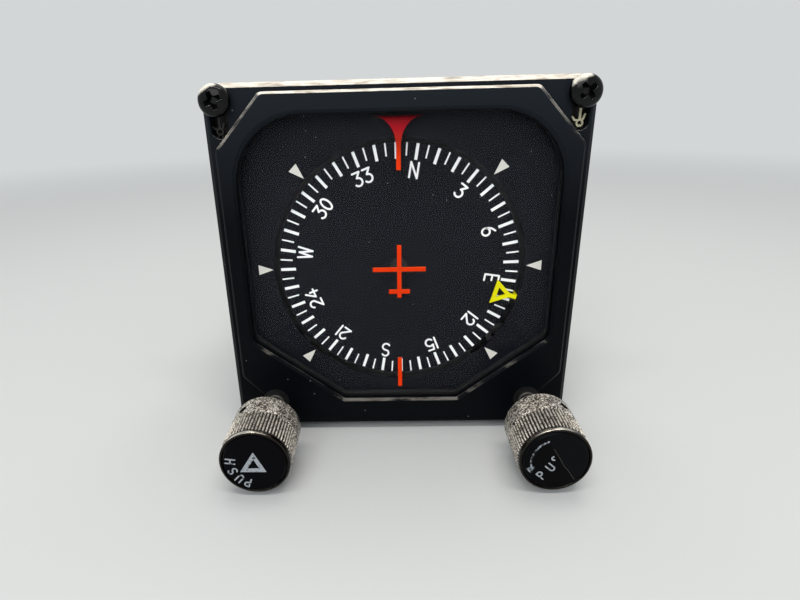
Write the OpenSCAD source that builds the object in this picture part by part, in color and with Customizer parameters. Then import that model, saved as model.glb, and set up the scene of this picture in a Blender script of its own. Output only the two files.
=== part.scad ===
// Directional gyro indicator, 3 1/8 inch class, front mounted, air driven.
// The dial axis runs along Y and the pilot looks along +Y. Every module is drawn with the dial
// axis at x = 0, z = 0 and the flange's front face at y = 0. at_row() then moves the whole
// instrument so that it stands on z = 0 with its middle over the origin.

/* [Flange and bezel] */
// Width and height of the square front flange
flange_w = 82.8; // [76:0.1:90]
// Thickness of the flange
flange_t = 4; // [3.8:0.1:6]
// How far the flange stands out past the housing
flange_lap = 1.4; // [1.2:0.1:1.6]
// Chamfer across the flange's top corners
flange_cut = 3.4; // [2:0.1:3.6]
// Bright bevel along the flange's front edge
flange_bevel = 1; // [0.4:0.1:1.4]
// How far the raised bezel stands in front of the flange
bezel_rise = 2.5; // [1.8:0.1:4]
// Margin of flange left round the raised bezel
bezel_margin = 2.3; // [1.6:0.1:3]
// Sideways length of the raised bezel's top corner cut
bezel_cut_x = 10.4; // [8:0.1:12]
// Upright length of the raised bezel's top corner cut
bezel_cut_z = 11.6; // [9:0.1:13]
// Sideways length of the raised bezel's bottom corner cut
bezel_foot_x = 12.4; // [11:0.1:13]
// Upright length of the raised bezel's bottom corner cut
bezel_foot_z = 13.4; // [12:0.1:14]
// Bevel along the raised bezel's edges
bezel_bevel = 0.5; // [0.2:0.1:0.8]

/* [Window] */
// Frame left at each side of the window
side_rail = 6; // [5.8:0.1:7]
// Frame left over the window
top_rail = 6.3; // [6:0.1:7.4]
// Frame left under the window
bottom_rail = 8.8; // [8:0.1:9.2]
// Room between the card and the window's lower corner cuts
corner_room = 5.8; // [5.6:0.1:6.2]
// Corner radius at the top of the window
win_r = 15; // [10:0.5:18]
// Depth of the sill from the bezel's front face to the glass
sill_depth = 2; // [1.2:0.1:2.4]
// How far the glass reaches behind the bezel on each side
glass_lap = 1.3; // [0.9:0.1:1.4]
// Thickness of the glass
glass_t = 1.8; // [1.2:0.1:2]

/* [Dial] */
// Room between the card and the window's sides
card_room = 6.7; // [6.4:0.1:7.2]
// Thickness of the compass card
card_t = 0.8; // [0.5:0.1:1]
// Depth of the compass card's face behind the flange's front face
card_y = 4.6; // [4.5:0.1:4.8]
// Thickness of the dial mask
mask_t = 0.8; // [0.6:0.1:1]
// Radial gap round the bug's arm
bug_gap = 0.3; // [0.25:0.05:0.4]
// Thickness of the heading bug's strip
bug_t = 0.4; // [0.3:0.05:0.5]
// Width of the heading bug's arm
bug_w = 1.2; // [1:0.1:2]
// Width of the heading bug's triangle
bug_span = 6.1; // [5:0.1:8]
// Line width of the heading bug's triangle
bug_line = 0.95; // [0.7:0.05:1.1]
// Heading that the bug points at, clockwise from the top
bug_angle = 106; // [0:1:359]
// Wingspan of the airplane symbol
plane_span = 12.4; // [10:0.1:14]
// Line width of the airplane symbol and the lubber line
line_w = 1; // [0.6:0.1:1.4]

/* [Knobs] */
// Radius of the knobs
knob_r = 7.7; // [7:0.1:8]
// Length of the knobs
knob_len = 14.35; // [12:0.05:16]
// How far the knob's front stands before the flange
knob_reach = 27.6; // [26:0.1:32]
// Length of the knob's smooth collar
collar_len = 5.75; // [4:0.05:7]
// Ridges round the knob
knob_ridges = 64; // [48:4:72]
// Depth of the knurling
knurl_depth = 0.35; // [0.2:0.05:0.5]
// Radius of the knob shafts
shaft_r = 1.5; // [1.3:0.05:1.7]
// How far a knob pushes in
push = 3; // [2.4:0.1:3]

/* [Gears] */
// Teeth of the knob pinions
pinion_n = 12; // [12:1:12]
// Teeth of the idlers
idler_n = 24; // [24:1:24]
// Teeth of the ring gears
ring_n = 72; // [72:1:72]
// Thickness of the setting gears
gear_t = 1.8; // [1.4:0.1:2]
// Angle of the idler's axis below the horizontal, seen from the dial axis
idler_angle = 39.5; // [38:0.5:41]
// Angle of the knob's axis below the horizontal, seen from the idler
knob_angle = 65.2; // [62:0.1:66]
// Teeth of the mitre gears
mitre_n = 72; // [60:12:72]
// Face width of the mitre gears along their axis
mitre_face = 3; // [2:0.1:3.4]

/* [Gyro] */
// Room between the rotor and its frame
rotor_room = 2.1; // [1.8:0.1:4]
// Width of the rotor
rotor_w = 14; // [10:0.1:14.4]
// Air buckets round the rotor
bucket_n = 24; // [18:1:30]
// Radial thickness of the rotor frame
tilt_ring_t = 2.4; // [2:0.1:2.5]
// Radial thickness of the outer gimbal
hoop_t = 3; // [2.4:0.1:3.2]
// Width of the outer gimbal
hoop_w = 6; // [5:0.1:6.2]
// Radius of the gimbal shafts
gimbal_shaft_r = 2; // [1.5:0.05:2.2]
// Radius of the small pivots
pivot_r = 1.5; // [1.2:0.05:1.6]

/* [Case] */
// Depth of the front housing behind the flange
housing_len = 20; // [20:0.1:22]
// Wall of the front housing
housing_wall = 1.6; // [1.2:0.1:1.7]
// Wall of the round can
can_wall = 1.2; // [0.8:0.1:1.5]
// Length of the round can
can_len = 72; // [66:1:90]
// Thickness of the rear housing's plate
rear_t = 5; // [4:0.5:8]
// Height of the suction port's boss
port_len = 13; // [12.5:0.5:18]
// Bore radius of the suction port
port_r = 5.56; // [5:0.01:6]
// Outer radius of the air filter's chamber
filter_r = 15; // [12:0.5:16]
// Depth of the air filter's chamber
filter_len = 8; // [6:0.5:10]
// Outer radius of the electrical connector
plug_r = 7.5; // [6:0.1:8]
// Height of the electrical connector
plug_len = 10; // [8:0.5:12]

/* [Screws] */
// Head radius of the mounting screws
screw_head_r = 3.35; // [3:0.05:3.35]
// Shank radius of the mounting screws
screw_r = 1.75; // [1.5:0.05:1.9]
// Distance of the mounting screws from the flange's edges
screw_inset = 3.4; // [3.4:0.1:4]
// Gap under the mounting screws' heads, which aren't tightened
screw_proud = 1.1; // [0:0.1:2]
// Shank radius of the small case screws
small_r = 1; // [0.8:0.05:1.2]

/* [Clearances] */
// Radial running clearance of a shaft in its bearing
run = 0.06; // [0.03:0.01:0.1]
// Gap between pieces that pass each other
pass = 0.4; // [0.3:0.05:0.5]
// Gap round a piece that drops into its seat
seat = 0.1; // [0.05:0.01:0.2]

/* [Hidden] */
$fn = 64;

// Sizes that follow from the flange
flange_half = flange_w / 2;
win_w = flange_w - 2 * side_rail;
win_top = flange_half - top_rail;
win_drop = flange_half - bottom_rail;
card_r = win_w / 2 - card_room;
housing_w = flange_w - 2 * flange_lap;
can_r = housing_w / 2 - 0.7;
// The housing and the clip nuts sit in a recess in the flange's back, inside a raised rim.
rim = 0.3;
seat_y = flange_t - rim;

// Places along the dial axis, from the front to the back
rise_y = -bezel_rise;
glass_y = rise_y + sill_depth;
gasket_t = 0.6;
gasket_y = glass_y + glass_t;
retainer_y = gasket_y + gasket_t;
bug_y = card_y - pass - 0.5 - bug_t;
mask_y = bug_y + bug_t - mask_t;
card_back = card_y + card_t;
carrier_y = card_back + pass;
carrier_t = 0.6;
foot_y = carrier_y + carrier_t;
bug_idler_y = foot_y + bug_t + pass;
bug_gear_y = bug_idler_y + push;
card_idler_y = bug_gear_y + gear_t + pass + 0.2;
card_gear_y = card_idler_y + push;
plate_t = 2.4;
spring_seat = 1.2;
wall_y = flange_t + housing_len - housing_wall;
plate_y = wall_y - plate_t;
case_y = flange_t + housing_len;
mitre_y = case_y;
rear_y = case_y + can_len;
back_y = rear_y + rear_t + port_len;
row_y = (knob_reach - back_y) / 2;
row_z = flange_half;

// Radii
arm_in = card_r + bug_gap;
arm_out = arm_in + bug_t;
mask_hole = arm_out + bug_gap;
can_in = can_r - can_wall;
seal_t = 0.5;
spigot_t = 1.5;
spigot_len = 6;
wall_hole = can_in - seat - spigot_t;
housing_in = housing_w / 2 - housing_wall;
frame_screw_at = [housing_in - 5, housing_in - 16.4];

// The setting gears: idler and knob axes on the right-hand side
ring_r = card_r - 3.5;
drum_r = ring_r - 5;
gear_m = 2 * ring_r / ring_n;
idler_r = gear_m * idler_n / 2;
pinion_r = gear_m * pinion_n / 2;
tooth_add = gear_m * 5 / 7;
tooth_ded = gear_m;
idler_at = (ring_r + idler_r) * [cos(idler_angle), -sin(idler_angle)];
knob_at = idler_at + (idler_r + pinion_r) * [cos(knob_angle), -sin(knob_angle)];
idler_phase = 180 - idler_angle + 180 / idler_n;
knob_lead = -knob_angle - idler_phase;
idler_lead = knob_lead - 360 / idler_n * round(knob_lead * idler_n / 360);
pinion_phase = 180 - knob_angle + idler_lead * idler_n / pinion_n + 180 / pinion_n;

// Frame arms and gimbals, from the case inwards
arm_z = wall_hole - 7.5;
arm_t = 3;
arm_w = 16;
bearing_r = 4.5;
hoop_out = arm_z - 5.2;
hoop_in = hoop_out - hoop_t;
tilt_ring_r = hoop_in - 0.8 - tilt_ring_t;
pivot_bearing_r = 3.4;
rotor_r = tilt_ring_r - rotor_room;
mitre_r = hoop_out + 1.2;
gimbal_y = mitre_y + mitre_r;

// Caging linkage
lever_z = mitre_r + 1.6;
lever_t = 1.8;
lever_pivot = [5.6, case_y + 9];
rod_z = lever_z + lever_t / 3;
rod_at = [sqrt(pow(wall_hole - 1.5, 2) - pow(rod_z, 2)), -rod_z];
rod_r = 1;
lever_reach = rod_at.x - lever_pivot.x;
lever_half = 1.3;

// Rear fittings, as places on the rear housing
port_at = on_ring(can_r - 17.3, -39.5);
filter_at = on_ring(can_r - 24.2, 172.4);
plug_at = on_ring(can_r - 16.5, 52.1);
face_y = rear_y + rear_t;

// Small round parts
bush_r = 3.2;
spring_r = shaft_r + 0.7;
cap_r = knob_r - 0.8;
cap_t = 1.2;
set_screw_y = knob_len - knob_reach - collar_len / 2 - 0.6;
set_screw_turn = -35;
guide_r = 3;
slot_r = 1.95;
slot_len = 5.8;
clip_half = 3.1;
clip_end = 2.2;
screw_at = [flange_half - screw_inset, flange_half - screw_inset];
yoke_t = 1;
yoke_gap = 0.3;
yoke_back = yoke_gap + yoke_t;

// The lubber line's flare narrows along a quarter ellipse to its stem.
flare_h = 6.2;
flare_half = 5.4;

// The window's lower corner cuts keep one distance from the card.
cut_a = 36.8;
win_cut = card_r + corner_room;
win_side = (win_cut - win_w / 2 * sin(cut_a)) / cos(cut_a);
win_foot = (win_cut - win_drop * cos(cut_a)) / sin(cut_a);

function unit(v) = v / norm(v);
// Rounds one corner of an outline. Each corner is [x, z, radius].
function corner(before, at, after, n = 8) =
    let (a = unit([before.x - at.x, before.y - at.y]), b = unit([after.x - at.x, after.y - at.y]),
        half = acos(a * b) / 2, r = at.z,
        mid = [at.x, at.y] + unit(a + b) * r / sin(half),
        first = [at.x, at.y] + a * r / tan(half), last = [at.x, at.y] + b * r / tan(half),
        start = atan2(first.y - mid.y, first.x - mid.x),
        turn = (atan2(last.y - mid.y, last.x - mid.x) - start + 540) % 360 - 180)
    r == 0 ? [[at.x, at.y]] : [for (i = [0:n]) mid + on_ring(r, start + turn * i / n)];
function rounded(pts) = let (n = len(pts))
    [for (i = [0:n - 1]) each corner(pts[(i + n - 1) % n], pts[i], pts[(i + 1) % n])];
// Moves every edge of a convex outline outwards by g.
function grown(pts, g) = let (n = len(pts))
    [for (i = [0:n - 1]) let (p = pts[i], before = pts[(i + n - 1) % n], after = pts[(i + 1) % n],
        a = unit([before.x - p.x, before.y - p.y]), b = unit([after.x - p.x, after.y - p.y]),
        q = [p.x, p.y] - unit(a + b) * g / sin(acos(a * b) / 2)) [q.x, q.y, max(p.z + g, 0.2)]];
function on_ring(r, a) = r * [cos(a), sin(a)];

win_pts = [[-win_w / 2, win_top, win_r], [-win_w / 2, -win_side, 2.5], [-win_foot, -win_drop, 1.5],
    [win_foot, -win_drop, 1.5], [win_w / 2, -win_side, 2.5], [win_w / 2, win_top, win_r]];
bezel_half = flange_half - bezel_margin;
bezel_top = flange_half - 1.9;
bezel_pts = [[-bezel_half, bezel_top - bezel_cut_z, 2], [-bezel_half, bezel_foot_z - bezel_top, 2],
    [bezel_foot_x - bezel_half, -bezel_top, 2], [bezel_half - bezel_foot_x, -bezel_top, 2],
    [bezel_half, bezel_foot_z - bezel_top, 2], [bezel_half, bezel_top - bezel_cut_z, 2],
    [bezel_half - bezel_cut_x, bezel_top, 1.5], [bezel_cut_x - bezel_half, bezel_top, 1.5]];
// The housing's top corners are cut back, clear of the clip nuts.
housing_half = housing_w / 2;
housing_cut = housing_w + slot_len + clip_end + 2 * pass - 2 * (screw_at.x - clip_half);
housing_pts = [[-housing_half, housing_half - housing_cut, 2], [-housing_half, -housing_half, 2],
    [housing_half, -housing_half, 2], [housing_half, housing_half - housing_cut, 2],
    [housing_half - housing_cut, housing_half, 2], [housing_cut - housing_half, housing_half, 2]];
flange_pts = [[-flange_half, flange_half - flange_cut, 1.6], [-flange_half, -flange_half, 2],
    [flange_half, -flange_half, 2], [flange_half, flange_half - flange_cut, 1.6],
    [flange_half - flange_cut, flange_half, 1.6], [flange_cut - flange_half, flange_half, 1.6]];
tab_w = 40;

module at_row() { translate([0, row_y, row_z]) children(); }
// Extrudes a flat shape, drawn in x and z, from y = y0 back to y = y1.
module slab(y0, y1) { translate([0, y1, 0]) rotate([90, 0, 0]) linear_extrude(y1 - y0) children(); }
// The same, but shrinking towards its front by the ratio k.
module front_taper(y0, y1, k) {
    translate([0, y1, 0]) rotate([90, 0, 0]) linear_extrude(y1 - y0, scale = k) children();
}
module post(at, r, y0, y1) {
    translate([at.x, y0, at.y]) rotate([-90, 0, 0]) cylinder(r = r, h = y1 - y0);
}
module pipe(at, r, bore, y0, y1) {
    difference() { post(at, r, y0, y1); post(at, bore, y0 - 1, y1 + 1); }
}
// Turns a profile of [radius, y] points round the dial axis.
module turned(pts) { rotate([-90, 0, 0]) rotate_extrude() polygon(pts); }
module outline(pts, g = 0) { polygon(rounded(grown(pts, g))); }
module square_ring(half, wall) {
    difference() { square(2 * half, center = true); square(2 * (half - wall), center = true); }
}
module both_sides() { children(); mirror([1, 0, 0]) children(); }
module right_or_left(left) { if (left) mirror([1, 0, 0]) children(); else children(); }
// A straight bar with round ends between two points.
module link(a, b, r) {
    translate(a) circle(r);
    translate(b) circle(r);
    translate(a) rotate(atan2(b.y - a.y, b.x - a.x)) translate([0, -r]) square([norm(b - a), 2 * r]);
}
// A gear outline with thin straight-sided teeth, one of them centred on the angle phase.
module gear_outline(n, r, pitch, phase) {
    thick = 0.4 * pitch;
    slope = tan(20);
    root = r - tooth_ded;
    tip = r + tooth_add;
    root_half = (thick / 2 + tooth_ded * slope) / root * 180 / PI;
    tip_half = (thick / 2 - tooth_add * slope) / tip * 180 / PI;
    polygon([for (i = [0:n - 1]) let (a = phase + 360 * i / n)
        each [on_ring(root, a - root_half), on_ring(tip, a - tip_half),
            on_ring(tip, a + tip_half), on_ring(root, a + root_half)]]);
}
module setting_gear(n, phase) { gear_outline(n, n * gear_m / 2, PI * gear_m, phase); }
// A flat-headed screw whose head lies flush at the origin, pointing along -Z.
module flat_screw(r, len) {
    cylinder(r = r, h = len);
    cylinder(r1 = 2 * r, r2 = r, h = r);
}
// One unbroken coil of wire along Y, from y0 to y1, with as many turns as fit at this pitch.
module coil(at, r, wire, pitch, y0, y1) {
    steps = 12 * floor((y1 - y0 - 2 * wire) / pitch);
    rise = (y1 - y0 - 2 * wire) / steps;
    ring_pts = [for (i = [0:steps], k = [0:5]) let (a = 30 * i, b = 60 * k, q = r + wire * cos(b))
        [at.x + q * cos(a), y0 + wire + rise * i + wire * sin(b), at.y + q * sin(a)]];
    sides = [for (i = [0:steps - 1], k = [0:5]) let (p = 6 * i + k, q = 6 * i + (k + 1) % 6)
        each [[p, q, q + 6], [p, q + 6, p + 6]]];
    ends = [[5, 4, 3, 2, 1, 0], [for (k = [0:5]) 6 * steps + k]];
    polyhedron(ring_pts, concat(sides, ends));
}

// Front: bezel, glass, mask and marks

module clip_plate(g) {
    translate([screw_at.x - clip_half - g, screw_at.y - slot_len - clip_end - g])
        square([2 * (clip_half + g), slot_len + clip_end + clip_half + 2 * g]);
}
module bezel_frame() {
    color("#1d1f24") difference() {
        union() {
            difference() {
                slab(flange_bevel, flange_t) outline(flange_pts);
                slab(seat_y, flange_t + 1) {
                    outline(housing_pts, seat);
                    both_sides() clip_plate(2 * seat);
                }
            }
            front_taper(0, flange_bevel, 1 - flange_bevel / flange_half) outline(flange_pts);
            slab(rise_y + bezel_bevel, 1) outline(bezel_pts);
            front_taper(rise_y, rise_y + bezel_bevel, 1 - bezel_bevel / bezel_half) outline(bezel_pts);
            both_sides() post(knob_at, bush_r + 1.4, rise_y + bezel_bevel, 1);
            slab(flange_bevel, flange_t + 4) intersection() {
                square_ring(housing_in - seat, 1);
                union() { for (a = [0, 90]) rotate(a) square([tab_w, 2 * flange_w], center = true); }
            }
        }
        slab(rise_y - 1, glass_y + 1) outline(win_pts);
        front_taper(rise_y - 0.01, rise_y + 0.6, 1.02) outline(win_pts, -0.01);
        slab(glass_y, flange_t + 5) outline(win_pts, glass_lap + seat);
        housing_screw_places() cylinder(r = small_r + run, h = 4);
        both_sides() {
            slab(-1, flange_t + 1) link(screw_at, screw_at - [0, slot_len], slot_r);
            post(knob_at, bush_r, rise_y - 1, flange_t + 1);
        }
    }
}

module window_glass() { color("#c8d8e0", 0.3) slab(glass_y, gasket_y) outline(win_pts, glass_lap); }
module window_rim() { difference() { outline(win_pts, glass_lap); outline(win_pts, 0.3); } }
module glass_gasket() { color("#151515") slab(gasket_y, retainer_y) window_rim(); }
module glass_retainer() { color("#26282c") slab(retainer_y, mask_y) window_rim(); }
module dial_mask() {
    color("#0e0f12") slab(mask_y, mask_y + mask_t) difference() {
        outline(win_pts, glass_lap);
        circle(mask_hole);
    }
}
module index_marks() {
    color("#c8c8c4") slab(mask_y - 0.1, mask_y) for (a = [0, 45, 135, 180, 225, 315]) rotate(a)
        polygon([[mask_hole + 0.25, 0], [mask_hole + 3.75, 1.2], [mask_hole + 3.75, -1.2]]);
}
module lubber_marks() {
    flare_z = win_top - 1;
    stem_end = card_r - 5.9;
    side = [for (i = [0:8]) let (a = 90 * i / 8)
        [line_w / 2 + (flare_half - line_w / 2) * (1 - sin(a)), flare_z - flare_h * (1 - cos(a))]];
    color("#e02a10") slab(gasket_y, gasket_y + 0.3) {
        polygon(concat(side, [[line_w / 2, stem_end], [-line_w / 2, stem_end]],
            [for (i = [8:-1:0]) [-side[i].x, side[i].y]]));
        translate([-line_w / 2, -card_r - 2.3]) square([line_w, 8]);
    }
}
module airplane_symbol() {
    nose = 0.47 * plane_span;
    tail = 0.565 * plane_span;
    tail_span = 0.4 * plane_span;
    color("#ff3c08") slab(gasket_y, gasket_y + 0.3) {
        translate([-plane_span / 2, -line_w / 2]) square([plane_span, line_w]);
        translate([-line_w / 2, -tail]) square([line_w, tail + nose]);
        translate([-tail_span / 2, 1 - tail]) square([tail_span, line_w]);
    }
}
module mounting_screws() {
    head = -screw_proud - 2.4;
    color("#17181a") both_sides() difference() {
        union() {
            post(screw_at, screw_r, -screw_proud - 0.5, flange_t + 6);
            translate([screw_at.x, 0, screw_at.y]) turned([[0, head], [screw_head_r - 1.1, head],
                [screw_head_r - 0.3, head + 0.6], [screw_head_r, head + 1.4],
                [screw_head_r, -screw_proud], [0, -screw_proud]]);
        }
        translate([screw_at.x, head, screw_at.y]) rotate([0, 20, 0]) for (a = [0, 90]) rotate([0, a, 0])
            cube([3.6, 2.4, 0.8], center = true);
    }
}
module clip_nuts() {
    clip_t = 0.6;
    hook_y = 0.8;
    hook_half = slot_r - 0.55;
    hook_at = [screw_at.x - hook_half, screw_at.y - slot_len - 1.2];
    color("#8d7d4f") both_sides() difference() {
        union() {
            slab(seat_y, seat_y + clip_t) clip_plate(0);
            slab(hook_y, seat_y + 0.1) translate(hook_at) square([2 * hook_half, clip_t]);
            slab(hook_y, hook_y + clip_t) translate(hook_at) square([2 * hook_half, 3.6]);
            post(screw_at, 2.6, seat_y, flange_t + 2);
        }
        post(screw_at, screw_r + run, -1, flange_t + 3);
    }
}
module knob_bushes() {
    color("#6e6a60") both_sides() difference() {
        union() {
            post(knob_at, bush_r, rise_y, flange_t);
            post(knob_at, bush_r - 0.6, rise_y - 0.6, rise_y);
        }
        post(knob_at, shaft_r + run, rise_y - 2, flange_t + 1);
    }
}

// Case

module front_housing() {
    color("#202227") difference() {
        union() {
            slab(seat_y, case_y) outline(housing_pts);
            post([0, 0], wall_hole + spigot_t, case_y - 1, case_y + spigot_len);
        }
        slab(seat_y - 1, wall_y) outline(housing_pts, -housing_wall);
        post([0, 0], wall_hole, wall_y - 1, case_y + spigot_len + 1);
        for_frame_screws() post([0, 0], small_r + run, wall_y - 1, case_y + 1);
        both_sides() {
            post(knob_at, shaft_r + pass, wall_y - 1, case_y + 1);
            post(rod_at, rod_r + pass, wall_y - 1, case_y + 1);
        }
        housing_screw_places() flat_screw(small_r + run, 4);
        case_screw_places(case_y + spigot_len / 2) flat_screw(small_r + run, 4);
    }
}
module for_frame_screws() {
    for (x = [-1, 1], z = [-1, 1]) translate([x * frame_screw_at.x, 0, z * frame_screw_at.y]) children();
}
module housing_screw_places() {
    for (a = [0:90:270], s = [-1, 1]) rotate([0, a, 0])
        translate([s * tab_w * 3 / 8, flange_t + 2, housing_half]) mirror([0, 0, 1]) children();
}
module case_screw_places(y) {
    for (a = [45:90:315]) rotate([0, a, 0]) translate([0, y, can_r]) mirror([0, 0, 1]) children();
}
module housing_screws() { color("#2b2c2f") housing_screw_places() flat_screw(small_r, 2.4); }
module case_can() {
    color("#1b1c20") difference() {
        post([0, 0], can_r, case_y + seal_t, rear_y);
        post([0, 0], can_in, case_y - 1, rear_y + 1);
        case_screw_places(case_y + spigot_len / 2) flat_screw(small_r + run, 4);
        case_screw_places(rear_y - spigot_len / 2) flat_screw(small_r + run, 4);
    }
}
module case_seals() {
    color("#111111") {
        pipe([0, 0], can_r, wall_hole + spigot_t, case_y, case_y + seal_t);
        pipe([0, 0], can_r, wall_hole + spigot_t, rear_y, rear_y + seal_t);
    }
}
module case_screws() {
    color("#2b2c2f") {
        case_screw_places(case_y + spigot_len / 2) flat_screw(small_r, 2.7);
        case_screw_places(rear_y - spigot_len / 2) flat_screw(small_r, 2.7);
    }
}
module rear_housing() {
    wall = 1.8;
    color("#24262b") difference() {
        union() {
            turned([[0, rear_y + seal_t], [can_r, rear_y + seal_t],
                [can_r, face_y - 1.5], [can_r - 1.5, face_y], [0, face_y]]);
            pipe([0, 0], wall_hole + spigot_t, wall_hole, rear_y - spigot_len, rear_y + 1);
            post(port_at, port_r + 3.4, face_y - 1, back_y);
            post(filter_at, filter_r, face_y - 1, face_y + filter_len);
            slab(face_y - 1, face_y + 1.6) plug_pad();
            for (a = [0:120:240]) post(port_at + on_ring(port_r + 3, a), 1.4, face_y - 1, face_y + 6);
        }
        difference() {
            post([0, 0], wall_hole - 5, rear_y - 1, face_y - 2.6);
            post(port_at, port_r + 3.4, rear_y - 1, face_y);
        }
        post(port_at, port_r, rear_y - 1, back_y + 1);
        post(filter_at, filter_r - wall, face_y, face_y + filter_len + 1);
        for (a = [0:60:300]) post(filter_at + on_ring(7, a), 2.2, rear_y - 1, face_y + 1);
        post(plug_at, plug_r, rear_y - 1, face_y + 2);
        for_filter_screws() post([0, 0], small_r + run, face_y + 3, face_y + filter_len + 1);
        for_plug_screws() post([0, 0], small_r + run, face_y - 3, face_y + 2);
        case_screw_places(rear_y - spigot_len / 2) flat_screw(small_r + run, 4);
    }
    for_filter_screws() pipe([0, 0], 1.9, small_r + run, face_y, face_y + filter_len - 1);
}
module for_filter_screws() {
    for (a = [30:120:270]) translate([filter_at.x, 0, filter_at.y]) rotate([0, a, 0])
        translate([filter_r - 3.8, 0, 0]) children();
}
module for_plug_screws() {
    for (a = [0:90:270]) translate([plug_at.x, 0, plug_at.y]) rotate([0, a, 0])
        translate([plug_r + 2.2, 0, 0]) children();
}
module plug_pad() { translate(plug_at) rotate(45) square(2 * plug_r + 3.4, center = true); }
module filter_element() {
    color("#b9b2a0") pipe(filter_at, filter_r - 6, 3, face_y, face_y + filter_len - 1);
}
module filter_cover() {
    cover_y = face_y + filter_len;
    color("#55585d") difference() {
        post(filter_at, filter_r - 1.8 - seat, cover_y - 1, cover_y + 0.4);
        for (ring = [1:3]) for (i = [0:6 * ring - 1])
            post(filter_at + on_ring(2.6 * ring, 60 * i / ring), 0.8, cover_y - 2, cover_y + 1);
        for_filter_screws() post([0, 0], small_r + run, cover_y - 2, cover_y + 1);
    }
}
module rear_screws() {
    cover_y = face_y + filter_len;
    color("#8a8c90") {
        for_filter_screws() {
            post([0, 0], small_r, cover_y - 4, cover_y + 1);
            post([0, 0], 1.9, cover_y + 0.4, cover_y + 1.4);
        }
        for_plug_screws() {
            post([0, 0], small_r * 0.9, face_y - 2.6, face_y + 4);
            post([0, 0], 1.4, face_y + 3.2, face_y + 4);
        }
    }
}
module connector_shell() {
    color("#7c7f84") difference() {
        union() {
            post(plug_at, plug_r - seat, face_y - 3, face_y + plug_len);
            slab(face_y + 1.6, face_y + 3.2) plug_pad();
        }
        post(plug_at, plug_r - 1.2, face_y + 2.2, face_y + plug_len + 1);
        post(plug_at, plug_r - 2.2, face_y - 4, face_y + 4);
        for_plug_screws() post([0, 0], small_r, face_y, face_y + 5);
    }
}
module connector_insert() {
    color("#1a1a1c") post(plug_at, plug_r - 2.2 - seat, face_y - 2, face_y + 3);
    color("#c9a24a") for (a = [0:60:300])
        post(plug_at + on_ring(0.4 * plug_r, a), 0.5, face_y + 3, face_y + 6);
}

// Frame

// Places its child on both arms of the frame, at the gimbal's upright axis.
module at_arms(z) {
    for (s = [0, 1]) mirror([0, 0, s]) translate([0, gimbal_y, arm_z + z]) children();
}
module main_frame() {
    color("#8d9094") difference() {
        union() {
            slab(plate_y, wall_y) outline(housing_pts, -housing_wall - 2 * seat);
            at_arms(0) {
                cylinder(r = arm_w / 2, h = arm_t);
                translate([-arm_w / 2, plate_y - gimbal_y, 0]) cube([arm_w, gimbal_y - plate_y, arm_t]);
            }
            post([0, 0], bearing_r + 2, plate_y - 0.4, plate_y);
        }
        post([0, 0], bearing_r, plate_y - 1, wall_y + 1);
        at_arms(-1) cylinder(r = bearing_r, h = arm_t + 2);
        both_sides() {
            post(knob_at, shaft_r + run, plate_y - 1, wall_y + 1);
            post(knob_at, spring_r + 0.5, plate_y - 1, plate_y + spring_seat);
        }
        post(rod_at, rod_r + run, plate_y - 1, wall_y + 1);
        for_frame_screws() post([0, 0], small_r + run, plate_y - 1, wall_y + 1);
        for (a = [20, 90, 160]) post(on_ring(rotor_r, a), 5, plate_y - 1, wall_y + 1);
    }
}
module frame_screws() {
    color("#9a9ca0") for_frame_screws() {
        post([0, 0], small_r, plate_y, case_y);
        post([0, 0], 1.9, plate_y - 1.3, plate_y);
    }
}
module frame_pins() {
    color("#b5b7ba") {
        post([-idler_at.x, idler_at.y], pivot_r, bug_idler_y - 1.3, plate_y);
        post(idler_at, pivot_r, card_idler_y - 1.3, plate_y);
        translate([lever_pivot.x, lever_pivot.y, -arm_z]) cylinder(r = 1.2, h = arm_z - lever_z + 0.3);
    }
}
module card_bearing() {
    color("#b9bbbf") pipe([0, 0], bearing_r, gimbal_shaft_r + run, plate_y - 0.4, wall_y + 0.2);
}
module gimbal_bearings() {
    color("#b9bbbf") at_arms(0) difference() {
        cylinder(r = bearing_r, h = arm_t);
        translate([0, 0, -1]) cylinder(r = gimbal_shaft_r + run, h = arm_t + 2);
    }
}
// A knob's spring, at the length that it has when the knob is pushed in.
module knob_spring(left) {
    gear_y = left ? bug_idler_y : card_idler_y;
    start = gear_y + gear_t + yoke_back + push;
    right_or_left(left) coil(knob_at, spring_r, 0.25, left ? 1.2 : 0.65, start, plate_y + spring_seat);
}
module bug_spring() { color("#a8aaad") knob_spring(true); }
module card_spring() { color("#a8aaad") knob_spring(false); }

// Card

module compass_card() {
    color("#101113") pipe([0, 0], card_r, gimbal_shaft_r, card_y, card_back);
}
module card_hub() {
    wall = 1.6;
    color("#a9acb0") turned([[gimbal_shaft_r, card_back], [drum_r, card_back], [drum_r, card_gear_y],
        [drum_r - wall, card_gear_y], [drum_r - wall, card_back + wall], [bearing_r, card_back + wall],
        [bearing_r, card_gear_y], [gimbal_shaft_r, card_gear_y]]);
}
module card_shaft() { color("#c4c6c9") post([0, 0], gimbal_shaft_r, card_y, mitre_y + 0.6); }
module card_set_gear() {
    color("#b08d57") slab(card_gear_y, card_gear_y + gear_t) difference() {
        setting_gear(ring_n, -idler_angle);
        circle(gimbal_shaft_r);
        for (a = [0:60:300]) rotate(a) translate([ring_r / 2, 0]) circle(0.18 * ring_r);
    }
}
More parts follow.
